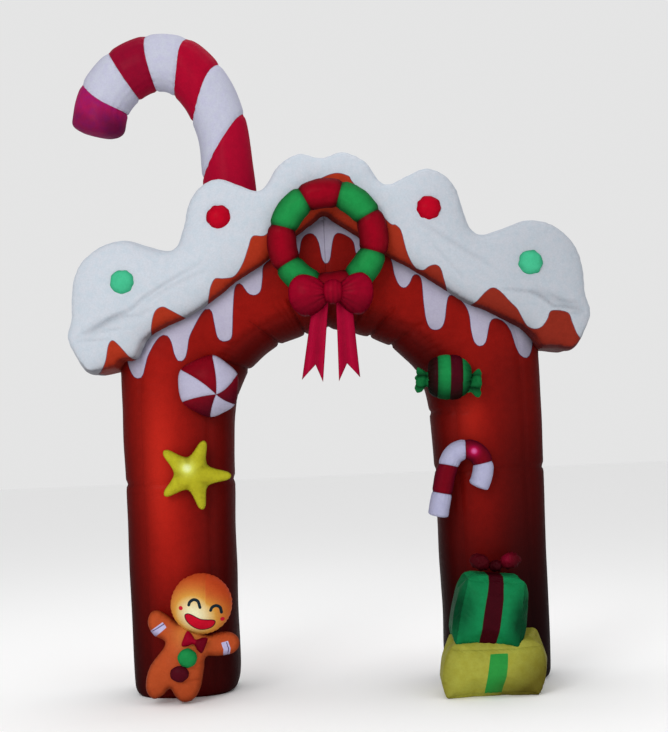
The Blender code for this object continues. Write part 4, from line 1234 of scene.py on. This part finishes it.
# Painted shade in the valleys that run in from the waists.
valley_dark = groove(off_valley, 0.35, 0.012)
note(star, "shade", valley_dark * np.clip(reach / STAR_WAIST - 0.3, 0, 1))
note(star, "lamp", 0.85 * spot(places, *STAR_LAMP) * (places[:, 1] < 0))
placed(star, STAR_PLACE)
press(star, tube_front)
yellow_taffeta = polyester(
    "yellow_taffeta", "b0ac24", "9c961e", lamp=("bcc050", "ccd4a4"), dark="4a4806"
)
dress(star, yellow_taffeta, "star")


# ---------------------------------------------------------------------------------------------
# The gingerbread figure. Arms, trunk and legs are one pad; the round head, the bow tie and two
# buttons are pads of their own. Its face and the bands on its arms are printed.
# ---------------------------------------------------------------------------------------------

COOKIE_OUTLINE = (
    (-0.600, 0.292), (-0.545, 0.300), (-0.490, 0.298), (-0.457, 0.272), (-0.454, 0.236),
    (-0.482, 0.206), (-0.545, 0.196), (-0.600, 0.194), (-0.612, 0.140), (-0.628, 0.062),
    (-0.660, 0.014), (-0.708, 0.004), (-0.740, 0.030), (-0.762, 0.062), (-0.795, 0.036),
    (-0.838, 0.024), (-0.868, 0.070), (-0.850, 0.160), (-0.780, 0.258), (-0.830, 0.298),
    (-0.856, 0.350), (-0.842, 0.398), (-0.806, 0.406), (-0.760, 0.378), (-0.712, 0.345),
    (-0.660, 0.360),
)
COOKIE_CROWN = 0.078
COOKIE_GRID = 0.005
COOKIE_NECK = (0, -0.296, 0.300)
COOKIE_LEAN_DEG = 13
COOKIE_HEAD = (-0.611, -0.325, 0.432)
COOKIE_HEAD_RADII = (0.136, 0.105, 0.134)
# The printed bands on its arms: the corners of each, then the dark line along it
COOKIE_BANDS = (
    (
        ((-0.846, 0.318), (-0.830, 0.286), (-0.768, 0.336), (-0.786, 0.358)),
        ((-0.838, 0.316), (-0.779, 0.351), (-0.779, 0.350)),
    ),
    (
        (
            (-0.530, 0.260), (-0.500, 0.266), (-0.490, 0.232), (-0.498, 0.196), (-0.526, 0.199),
            (-0.521, 0.229),
        ),
        ((-0.507, 0.260), (-0.498, 0.232), (-0.505, 0.202), (-0.499, 0.232)),
    ),
)
COOKIE_STITCH = 0.0022
# The face: two arched eyes, an open mouth, and a round cheek on either side
COOKIE_EYES = (
    ((-0.658, 0.441), (-0.652, 0.454), (-0.635, 0.463), (-0.617, 0.455), (-0.609, 0.429)),
    ((-0.564, 0.413), (-0.557, 0.426), (-0.540, 0.432), (-0.524, 0.422), (-0.519, 0.400)),
)
COOKIE_EYE_LINE = 0.0066
COOKIE_MOUTH = (
    (-0.678, 0.393), (-0.669, 0.402), (-0.651, 0.399), (-0.613, 0.378), (-0.584, 0.372),
    (-0.554, 0.368), (-0.549, 0.355), (-0.565, 0.337), (-0.594, 0.328), (-0.624, 0.331),
    (-0.654, 0.349), (-0.673, 0.372),
)
COOKIE_CHEEKS = ((-0.695, 0.427), (-0.517, 0.369))
COOKIE_CHEEK = 0.0095
COOKIE_LIPS = 0.0045  # the width of the mouth's outline
# x, z, size, strength
COOKIE_LAMPS = ((-0.658, 0.414, 0.060, 0.66), (-0.600, 0.370, 0.068, 0.52))
COOKIE_CHEST_LAMP = (-0.665, 0.310, 0.045)  # x, z, size
COOKIE_HEAD_SEAM = ((-0.586, 0.566), (-0.587, 0.478), (-0.594, 0.428))
COOKIE_LEG_CREASE = ((-0.705, 0.092), (-0.660, 0.088), (-0.622, 0.098))
COOKIE_SEW = 0.004  # the step along the last two
COOKIE_GATHERS = (0.005, 0.030, 0.026)  # depth, spacing, length
COOKIE_LUMPS = (0.003, 0.04)
HEAD_GATHERS = (0.006, 0.022, 0.022)
HEAD_LUMPS = (0.002, 0.05)

outline = [(x, z - COOKIE_NECK[2]) for x, z in COOKIE_OUTLINE]
outline = smooth_line(outline, COOKIE_GRID, closed=True)
trunk = pillow("cookie_body", outline, COOKIE_CROWN, COOKIE_GRID)
places = points_of(trunk)
crease_line = smooth_line(COOKIE_LEG_CREASE, COOKIE_SEW)
gap = away_from(places[:, ::2] + (0, COOKIE_NECK[2]), crease_line)[0]
creases = rim_gathers(trunk, *COOKIE_GATHERS, 81) + groove(gap, 0.006, 0.006) * (places[:, 1] < 0)
sew_rim(trunk, uneven(places, *COOKIE_LUMPS, 83) - creases)
placed(trunk, COOKIE_NECK, 0, COOKIE_LEAN_DEG)
press(trunk, tube_front)
places = points_of(trunk)
seen = places[:, ::2]
bands = [from_outline(seen, straight(band, 0.006))[0] for band, _ in COOKIE_BANDS]
lines = [COOKIE_STITCH - away_from(seen, straight(line, 0.001))[0] for _, line in COOKIE_BANDS]
note(trunk, "band", np.maximum(*bands))
note(trunk, "line", np.maximum(*lines))
note(trunk, "lamp", 0.4 * spot(places, *COOKIE_CHEST_LAMP) * (places[:, 1] < COOKIE_NECK[1]))
# Painted shade at the rim and towards the bottom.
rim_dark = np.clip(0.5 - noted(trunk, "rim") / 0.040, 0, 0.35)
note(trunk, "shade", rim_dark + 0.2 * ramp(places[:, 2], 0.2, 0))
ginger_taffeta = polyester(
    "ginger_taffeta",
    "b04c26",
    "a64420",
    [("band", "b8b4d4", "aaa4ca", None), ("line", "5a4c72", "4a3e62", None)],
    lamp=("c8843c", "d8b070"),
    dark="4a1608",
)
dress(trunk, ginger_taffeta, "cookie_body")

head = puff("cookie_head", COOKIE_HEAD, COOKIE_HEAD_RADII, 0.003)
places = points_of(head)
off_rim = np.abs(noted(head, "tip") - math.pi / 2) * 0.12
creases = gathers(noted(head, "turn") * 0.13, off_rim, *HEAD_GATHERS, 85)
gap = away_from(places[:, ::2], smooth_line(COOKIE_HEAD_SEAM, COOKIE_SEW))[0]
creases += groove(gap, 0.003, 0.006) * (places[:, 1] < COOKIE_HEAD[1])
push(head, uneven(places, *HEAD_LUMPS, 87) - creases)
note(head, "seam", off_rim)
press(head, tube_front)
places = points_of(head)
seen, front = places[:, ::2], places[:, 1] < COOKIE_HEAD[1]
eyes = [COOKIE_EYE_LINE - away_from(seen, smooth_line(eye, 0.001))[0] for eye in COOKIE_EYES]
cheeks = [COOKIE_CHEEK - np.linalg.norm(seen - cheek, axis=1) for cheek in COOKIE_CHEEKS]
mouth = from_outline(seen, smooth_line(COOKIE_MOUTH, 0.003, closed=True))[0]
prints = {"eyes": np.maximum(*eyes), "cheeks": np.maximum(*cheeks)}
prints.update(lips=mouth + COOKIE_LIPS / 2, mouth=mouth - COOKIE_LIPS / 2)
for fact, depth in prints.items():
    note(head, fact, np.where(front, depth, -1))
lit = sum(bright * spot(places, x, z, size) for x, z, size, bright in COOKIE_LAMPS)
past_seam = ramp(places[:, 0] - COOKIE_HEAD_SEAM[1][0], 0, 0.006) * ramp(places[:, 2], 0.425, 0.485)
note(head, "lamp", np.where(front, np.clip(lit * (1 - 0.50 * past_seam), 0, 1), 0))
face_taffeta = polyester(
    "face_taffeta",
    "b23c1c",
    "a83418",
    [
        ("cheeks", "b8182c", "a8142a", None),
        ("lips", "4a1022", "420e1e", None),
        ("mouth", "b00c24", "a00a20", None),
        ("eyes", "14242c", "101e26", None),
    ],
    lamp=("c0903c", "c8c4a0"),
    dark="4a1608",
)
dress(head, face_taffeta, "cookie_head")

TIE_TURN_DEG = -22
TIE_LEAN_DEG = 18
TIE_SHIFT = (-0.002, -0.002, -0.009)
TIE_CROWN = 0.022
TIE_GRID = 0.003
TIE_GATHERS = (0.003, 0.014, 0.025)
TIE_WING = (
    (0.000, 0.012), (0.026, 0.030), (0.048, 0.034), (0.052, 0.000), (0.048, -0.034),
    (0.026, -0.030), (0.000, -0.012),
)
tie_outline = list(TIE_WING) + [(-x, z) for x, z in TIE_WING[-2:0:-1]]
outline = smooth_line(tie_outline, TIE_GRID, closed=True)
tie = pillow("cookie_bow_tie", outline, TIE_CROWN, TIE_GRID)
x, y, z = points_of(tie).T
push(tie, -gathers(np.arctan2(z, x) * 0.05, np.hypot(x, z), *TIE_GATHERS, 88))
# Painted shade on the right wing.
note(tie, "shade", 0.55 * ramp(x, 0.004, 0.010))
placed(tie, middle_of("cookie_bow_tie") + TIE_SHIFT, TIE_TURN_DEG, TIE_LEAN_DEG)
dress(tie, crimson_taffeta, "cookie_bow_tie")

# node: its radius across and up, its height, and how far right and up it lies
COOKIE_BUTTONS = {
    "cookie_button_upper": (0.042, 0.042, 0.034, -0.006, 0.002),
    "cookie_button_lower": (0.041, 0.035, 0.028, -0.004, 0.006),
}
SMALL_GRID = 0.0025
green_button = polyester("green_button_taffeta", "1c8444", "18783c", dark="06281a")
dark_button = polyester("dark_button_taffeta", "4c0a18", "420814", dark="1c0408")
for node, (wide, tall, height, right, up) in COOKIE_BUTTONS.items():
    place = middle_of(node) + (right, 0, up)
    place[1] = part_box(node)[0][1] - SET_BACK + height
    button = puff(node, place, (wide, height, tall), SMALL_GRID)
    rim = towards_rim(button)
    push(button, uneven(points_of(button), 0.003, 0.02, 89) * rim**4)
    # Painted shade at the rim.
    note(button, "shade", 0.35 * rim**8)
    upper = node == "cookie_button_upper"
    dress(button, green_button if upper else dark_button, node)


# ---------------------------------------------------------------------------------------------
# The wrapped sweet. A barrel of green and dark red bands in its wrapper, with a twisted fan of
# cloth at each end.
# ---------------------------------------------------------------------------------------------

CANDY_PLACE = (0.523, -0.288, 1.382)
CANDY_TURN_DEG = -3
CANDY_FLAT = 0.82
# Along, radius
CANDY_BARREL = (
    (-0.090, 0.000), (-0.090, 0.045), (-0.082, 0.072), (-0.050, 0.093), (0.000, 0.101),
    (0.040, 0.098), (0.066, 0.086), (0.090, 0.064), (0.102, 0.044), (0.102, 0.000),
)
CANDY_BANDS = (-0.120, -0.050, 0.007, 0.063)
CANDY_GRID = 0.004
CANDY_GIRTH = 0.6
CANDY_GATHERS = (0.006, 0.028, 0.030)  # depth, spacing, length
CANDY_GATHER_AT = 0.09  # how far from its middle they begin, and the radius there
CANDY_PINCH = (0.003, 0.006)


def turned(name, profile, flat, around, step, form=None):
    """A form turned about the X axis and flattened from front to back."""
    line = smooth_line(profile, step)

    def shape_of(u, v):
        turn = math.tau * u
        index = v * (len(line) - 1)
        along, reach = between_rows(line, index)
        if form:
            along, reach = form(along, reach, turn)
        places = np.column_stack([along, flat * reach * np.cos(turn), reach * np.sin(turn)])
        return places, {"turn": turn, "along": along}

    return rolled(name, around, len(line) - 1, (CANDY_GIRTH, step * (len(line) - 1)), shape_of)


barrel = turned("wrapped_candy", CANDY_BARREL, CANDY_FLAT, 160, CANDY_GRID)
along = noted(barrel, "along")
past = along - np.array(CANDY_BANDS)[:, None]
note(barrel, "red", between(past, (0, 1), (2, 3)))
off_seam = np.abs(past).min(0)
turn = noted(barrel, "turn")
off_end = CANDY_GATHER_AT - np.abs(along)
creases = gathers(turn * CANDY_GATHER_AT, off_end, *CANDY_GATHERS, 91)
push(barrel, -creases - groove(off_seam, *CANDY_PINCH))
note(barrel, "seam", off_seam)
# Painted shade underneath and towards both ends.
underneath = 0.8 * np.clip(0.15 - np.sin(turn), 0, 1) ** 1.5
ends = 0.75 * ramp(np.abs(along - 0.012), 0.035, 0.085)
note(barrel, "shade", 1 - (1 - underneath) * (1 - ends))
placed(barrel, CANDY_PLACE, CANDY_TURN_DEG)
press(barrel, tube_front)
wrapper = polyester(
    "wrapper_taffeta", "1a8244", "14723a", [("red", "440614", "380410", None)], dark="020c06"
)
dress(barrel, wrapper, "wrapped_candy")

# Along, radius
CANDY_TWIST = (
    (0.084, 0.000), (0.084, 0.034), (0.098, 0.034), (0.114, 0.044), (0.132, 0.046),
    (0.142, 0.034), (0.136, 0.016), (0.132, 0.000),
)
TWIST_FLAT = 0.75
TWIST_PLEATS = 4
# node: its side, how much bigger it is, and how far it hangs
CANDY_TWISTS = {"candy_twist_left": (-1, 1.0, 0.012), "candy_twist_right": (1, 1.12, 0.028)}
for node, (side, bigger, sag) in CANDY_TWISTS.items():

    def frilled(along, reach, turn):
        deep = ramp(along, 0.092, 0.122) * (1 - 0.3 * ramp(along, 0.130, 0.140))
        wave = np.cos(TWIST_PLEATS * turn + side) + 0.4 * np.cos(7 * turn + 2 * side)
        return (along + 0.006 * wave * deep) * side, reach * bigger * (1 + 0.22 * wave * deep)

    twist = turned(node, CANDY_TWIST, TWIST_FLAT, 120, 0.003, frilled)
    push(twist, uneven(points_of(twist), 0.005, 0.022, 93 + side))
    # Painted shade over the whole twist, deepest in the pleats' valleys.
    valley = 0.5 - 0.5 * np.cos(TWIST_PLEATS * noted(twist, "turn") + side)
    note(twist, "shade", 0.42 + 0.45 * valley**2)
    note(twist, "red", np.full(len(twist.vertices), -1.0))
    placed(twist, np.array(CANDY_PLACE) - (0, 0, sag), CANDY_TURN_DEG)
    press(twist, tube_front)
    dress(twist, wrapper, node)


# ---------------------------------------------------------------------------------------------
# The small cane. White and crimson rings, as on the large one, closed by a dome at each end.
# ---------------------------------------------------------------------------------------------

SMALL_CANE_ROUTE = (
    (0.451, 0.763), (0.470, 0.852), (0.497, 0.962), (0.533, 1.036), (0.592, 1.058),
    (0.644, 1.034), (0.663, 0.980), (0.652, 0.925), (0.634, 0.886),
)
SMALL_CANE_TUBE = 0.046
SMALL_CANE_TIP = 0.016
SMALL_CANE_GRID = 0.003
SMALL_CANE_Y = -0.262
SMALL_CANE_SEAMS = (
    (0.108, 0.108, 0.108),
    (0.241, 0.237, 0.229),
    (0.342, 0.345, 0.348),
    (0.456, 0.455, 0.454),
)
SMALL_CANE_GATHERS = (0.0035, 0.022)  # depth, spacing
SMALL_CANE_PINCH = 0.004
SMALL_CANE_LAMP = (0.622, 1.050, 0.015)

hooked = hook(
    "cane_small", SMALL_CANE_ROUTE, SMALL_CANE_TUBE, SMALL_CANE_TIP, SMALL_CANE_GRID, SMALL_CANE_TIP
)
past = seams_past(hooked, SMALL_CANE_SEAMS)
note(hooked, "white", -between(past, (0, 1), (2, 3)))
sew_rings(hooked, past, SMALL_CANE_TUBE, *SMALL_CANE_GATHERS, SMALL_CANE_PINCH)
note(hooked, "lamp", 0.8 * spot(points_of(hooked), *SMALL_CANE_LAMP))
# Painted shade on the sides that turn away, deeper on the crimson.
turned_away = np.abs(np.cos(noted(hooked, "turn")))
note(hooked, "shade", np.where(noted(hooked, "white") > 0, 0.20, 0.62) * turned_away**2.5)
placed(hooked, (0, SMALL_CANE_Y, 0))
press(hooked, tube_front)
small_cane_taffeta = polyester(
    "small_cane_taffeta",
    "6e0416",
    "600412",
    [("white", "a8a8c2", "9c9cba", None)],
    lamp=("a00a40", "c068a0"),
    dark="24081c",
)
dress(hooked, small_cane_taffeta, "cane_small")


# ---------------------------------------------------------------------------------------------
# The parcels. Each has six panels of cloth, swollen in their middles and gathered along their
# seams. A ribbon is sewn round each, and the green one's ends in two small loops and a knot.
# ---------------------------------------------------------------------------------------------

YELLOW_SIZE = (0.410, 0.282, 0.250)
YELLOW_SLOPE = 0.034  # how much lower its top's front seam is, under the other parcel
YELLOW_X = 0.658
YELLOW_TOP = 0.975  # its width at the top, as a share of the foot's
YELLOW_BARREL = 0.113  # how much wider it is cut half way up
YELLOW_LEAN = (0.08, 0.07)  # how far its top and its back lie to the right
YELLOW_SWELL = (0.022, 0.032, 0.012)  # the furthest that the air moves its cloth, each way
YELLOW_RIBBON = (0.009, 0.07)  # how far right of its middle it is sewn on, how far it leans
YELLOW_RIBBON_TOP = 0.224
GREEN_SIZE = (0.290, 0.262, 0.292)
GREEN_TOP = 0.90
GREEN_BARREL = 0.08
GREEN_LEAN = (0.075, 0)
GREEN_SWELL = (0.010, 0.030, 0.010)
GREEN_RIBBON = (0.001, 0)
GREEN_PLACE = (0.651, 0.355)
GREEN_TURN_DEG = -6
GIFT_CUTS = 41
GIFT_GATHERS = (0.004, 0.026, 0.022)  # depth, spacing, length
GIFT_PINCH = (0.003, 0.007)
RIBBON_HALF = 0.037


def worked_out(form):
    """A form as its modifiers make it."""
    return form.evaluated_get(bpy.context.evaluated_depsgraph_get())


def blown_up(mesh, reach):
    """Blow a closed form of flat panels up with Blender's cloth, as far as a reach each way."""
    before = points_of(mesh)
    form = add_object("form", mesh)
    cloth = form.modifiers.new("cloth", "CLOTH")
    cloth.collision_settings.use_collision = False
    cloth.settings.use_pressure = True
    cloth.settings.uniform_pressure_force = 4
    cloth.settings.effector_weights.gravity = 0
    cloth.settings.tension_stiffness = 40
    cloth.settings.compression_stiffness = 40
    cloth.settings.shear_stiffness = 15
    cloth.settings.bending_stiffness = 0.05
    for moment in range(1, 21):
        bpy.context.scene.frame_set(moment)
    after = points_of(worked_out(form).data)
    bpy.context.scene.frame_set(1)
    form.modifiers.clear()
    set_points(mesh, before + np.clip(after - before, -np.array(reach), reach))
    form.modifiers.new("finer", "SUBSURF").levels = 1
    fine = bpy.data.meshes.new_from_object(worked_out(form))
    bpy.data.objects.remove(form)
    return fine


def parcel(name, size, top, barrel, lean, swell, slope=0.0):
    """A box of six panels, blown up. Notes how far each point lay from the seams and from the
    box's middle while it was flat, and whether it is on the front panel."""
    shape = bmesh.new()
    bmesh.ops.create_cube(shape, size=2)
    bmesh.ops.subdivide_edges(shape, edges=shape.edges, cuts=GIFT_CUTS, use_grid_fill=True)
    mesh = mesh_of(name, shape)
    cube, half = points_of(mesh), np.array(size) / 2
    flat = cube * half
    corners = corners_of(mesh)
    ways = np.repeat([np.abs(face.normal).argmax() for face in mesh.polygons], 4)[:, None]
    cut = np.where(ways == 0, flat[corners, 1:], flat[corners, :2])
    cut_cloth(mesh, np.where(ways == 1, flat[corners, ::2], cut))
    x, y, z = cube.T
    note(mesh, "off_seam", np.sort((1 - np.abs(cube)) * half, axis=1)[:, 1])
    for fact, values in zip(("box_x", "box_y", "box_z"), cube.T):
        note(mesh, fact, values)
    places = flat.copy()
    places[:, 0] *= (1 + (top - 1) * (z + 1) / 2) * (1 + barrel * (1 - z**2))
    places[:, 0] += lean[0] * flat[:, 2] + lean[1] * flat[:, 1]
    places[:, 2] -= slope * (1 - y) / 2 * (1 + z) / 2
    set_points(mesh, places)
    mesh = blown_up(mesh, swell)
    off_seam = noted(mesh, "off_seam")
    creases = gathers(points_of(mesh).sum(1), off_seam, *GIFT_GATHERS, size[0] * 100)
    push(mesh, -creases - groove(off_seam, *GIFT_PINCH))
    note(mesh, "seam", off_seam + 0.6 * SEAM_LINE)
    return mesh


def off_ribbon(mesh, size, right, lean):
    """How far inside its ribbon, sewn on right of the middle and leaning, each point lies."""
    x, z = noted(mesh, "box_x") * size[0] / 2, noted(mesh, "box_z") * size[2] / 2
    return RIBBON_HALF - np.abs(x - right - lean * z)


box = parcel(
    "gift_yellow", YELLOW_SIZE, YELLOW_TOP, YELLOW_BARREL, YELLOW_LEAN, YELLOW_SWELL, YELLOW_SLOPE
)
across, up = noted(box, "box_x"), noted(box, "box_z")
# Painted shade towards the right, most at the foot, and at the left edge.
aside = 0.95 * ramp(across - 0.4 * up, 0.1, 1.2) + 0.9 * np.clip(-0.7 - across, 0, 1)
note(box, "shade", np.clip(aside, 0, 0.75))
on_front = noted(box, "box_y") < -0.99
below_end = YELLOW_RIBBON_TOP - (up + 1) * YELLOW_SIZE[2] / 2
ribbon = np.minimum(off_ribbon(box, YELLOW_SIZE, *YELLOW_RIBBON), below_end)
note(box, "ribbon", np.where(on_front, ribbon, -1))
placed(box, (YELLOW_X, -TUBE_HALF_DEPTH - YELLOW_SIZE[1] / 2, YELLOW_SIZE[2] / 2))
places = points_of(box)
places[:, 2] = np.maximum(places[:, 2], 0)
set_points(box, places)
press(box, tube_front)
yellow_gift = polyester(
    "yellow_gift_taffeta", "9e9e42", "928e30", [("ribbon", "2c8c3c", "268238", None)], dark="3a2604"
)
dress(box, yellow_gift, "gift_yellow")

box = parcel("gift_green", GREEN_SIZE, GREEN_TOP, GREEN_BARREL, GREEN_LEAN, GREEN_SWELL)
across, up = noted(box, "box_x"), noted(box, "box_z")
# Painted shade on both sides, towards the lower right, and on the side panels.
aside = ramp(np.abs(across), 0.40, 0.80) * np.clip(1.15 - np.abs(up), 0, 1)
low_right = np.clip(across - 0.3, 0, 0.7) * np.clip(0.6 - up, 0, 1)
on_side = 0.30 * (np.abs(across) > 0.97)
note(box, "shade", np.clip(0.55 * aside + 0.70 * low_right + on_side, 0, 0.80))
note(box, "ribbon", off_ribbon(box, GREEN_SIZE, *GREEN_RIBBON))
place = (GREEN_PLACE[0], -TUBE_HALF_DEPTH - GREEN_SIZE[1] / 2, GREEN_PLACE[1])
placed(box, place, GREEN_TURN_DEG)
press(box, tube_front)
green_gift = polyester(
    "green_gift_taffeta", "137a48", "0f6e3e", [("ribbon", "3a0610", "32050e", None)], dark="02180e"
)
dress(box, green_gift, "gift_green")

# node: its radii, its turn in degrees
GIFT_BOW = {
    "gift_bow_left": ((0.046, 0.036, 0.035), -25),
    "gift_bow_right": ((0.046, 0.036, 0.035), 20),
    "gift_bow_knot": ((0.030, 0.030, 0.026), 0),
}
GIFT_BOW_SHIFT = (-0.008, 0, -0.008)
GIFT_BOW_LAMP = (0.735, 0.580, 0.022)
gift_bow_taffeta = polyester(
    "gift_bow_taffeta", "44060f", "3a050c", lamp=("5e0418", "7c0a2c"), dark="140206"
)
for node, (radii, turn_deg) in GIFT_BOW.items():
    loop = puff(node, (0, 0, 0), radii, SMALL_GRID)
    places = points_of(loop)
    push(loop, uneven(places * (2, 1, 1), 0.006, 0.022, 97))
    placed(loop, middle_of(node) + GIFT_BOW_SHIFT, turn_deg)
    note(loop, "lamp", 0.6 * spot(points_of(loop), *GIFT_BOW_LAMP))
    # Painted shade at the foot of each puff, and on the knot between the loops.
    low = 0.35 * ramp(-places[:, 2], 0, radii[2])
    note(loop, "shade", low + 0.5 * (node == "gift_bow_knot"))
    dress(loop, gift_bow_taffeta, node)


# ---------------------------------------------------------------------------------------------
# The studio. A pale floor, a pale sky and three soft lights, with the camera before the arch.
# ---------------------------------------------------------------------------------------------

CAMERA_PLACE = (0, -7.135, 1.30)
CAMERA_YAW_DEG = -0.15
CAMERA_PITCH_DEG = 1.27
CAMERA_ROLL_DEG = -2.5
CAMERA_LENS = 76.8  # on 36 mm along the picture's long side
# name, place, size, watts
LIGHTS = (
    ("key", (-2.8, -6.0, 4.4), 3.0, 170),
    ("fill", (3.8, -5.6, 2.2), 4.4, 40),
    ("top", (0.4, 1.2, 5.2), 3.6, 60),
)
LIGHTS_AIM = (0, 0.1, 1.3)

view = bpy.data.cameras.new("view")
view.lens = CAMERA_LENS
camera = add_object("view", view)
camera.location = CAMERA_PLACE
yaw = Matrix.Rotation(math.radians(CAMERA_YAW_DEG), 4, "Z")
pitch = Matrix.Rotation(math.radians(90 + CAMERA_PITCH_DEG), 4, "X")
roll = Matrix.Rotation(math.radians(CAMERA_ROLL_DEG), 4, "Z")
camera.rotation_euler = (yaw @ pitch @ roll).to_euler()
bpy.context.scene.camera = camera

for name, place, size, watts in LIGHTS:
    light = bpy.data.lights.new(name, "AREA")
    light.size = size
    light.energy = watts
    lamp = add_object(name, light)
    lamp.location = place
    lamp.rotation_euler = (Vector(LIGHTS_AIM) - lamp.location).to_track_quat("-Z", "Y").to_euler()

sky = bpy.data.worlds.new("sky")
sky.use_nodes = True
backdrop = sky.node_tree.nodes["Background"].inputs
backdrop["Color"].default_value = (1, 1, 1, 1)
backdrop["Strength"].default_value = 0.78
bpy.context.scene.world = sky
bpy.context.scene.view_settings.view_transform = "Standard"

shape = bmesh.new()
bmesh.ops.create_grid(shape, x_segments=1, y_segments=1, size=20)
ground = mesh_of("floor", shape)
paint, shader = new_material("matt_white_paint")
shader["Base Color"].default_value = linear("fafafa")
shader["Roughness"].default_value = 0.9
ground.materials.append(paint)
floor = add_object("floor", ground)
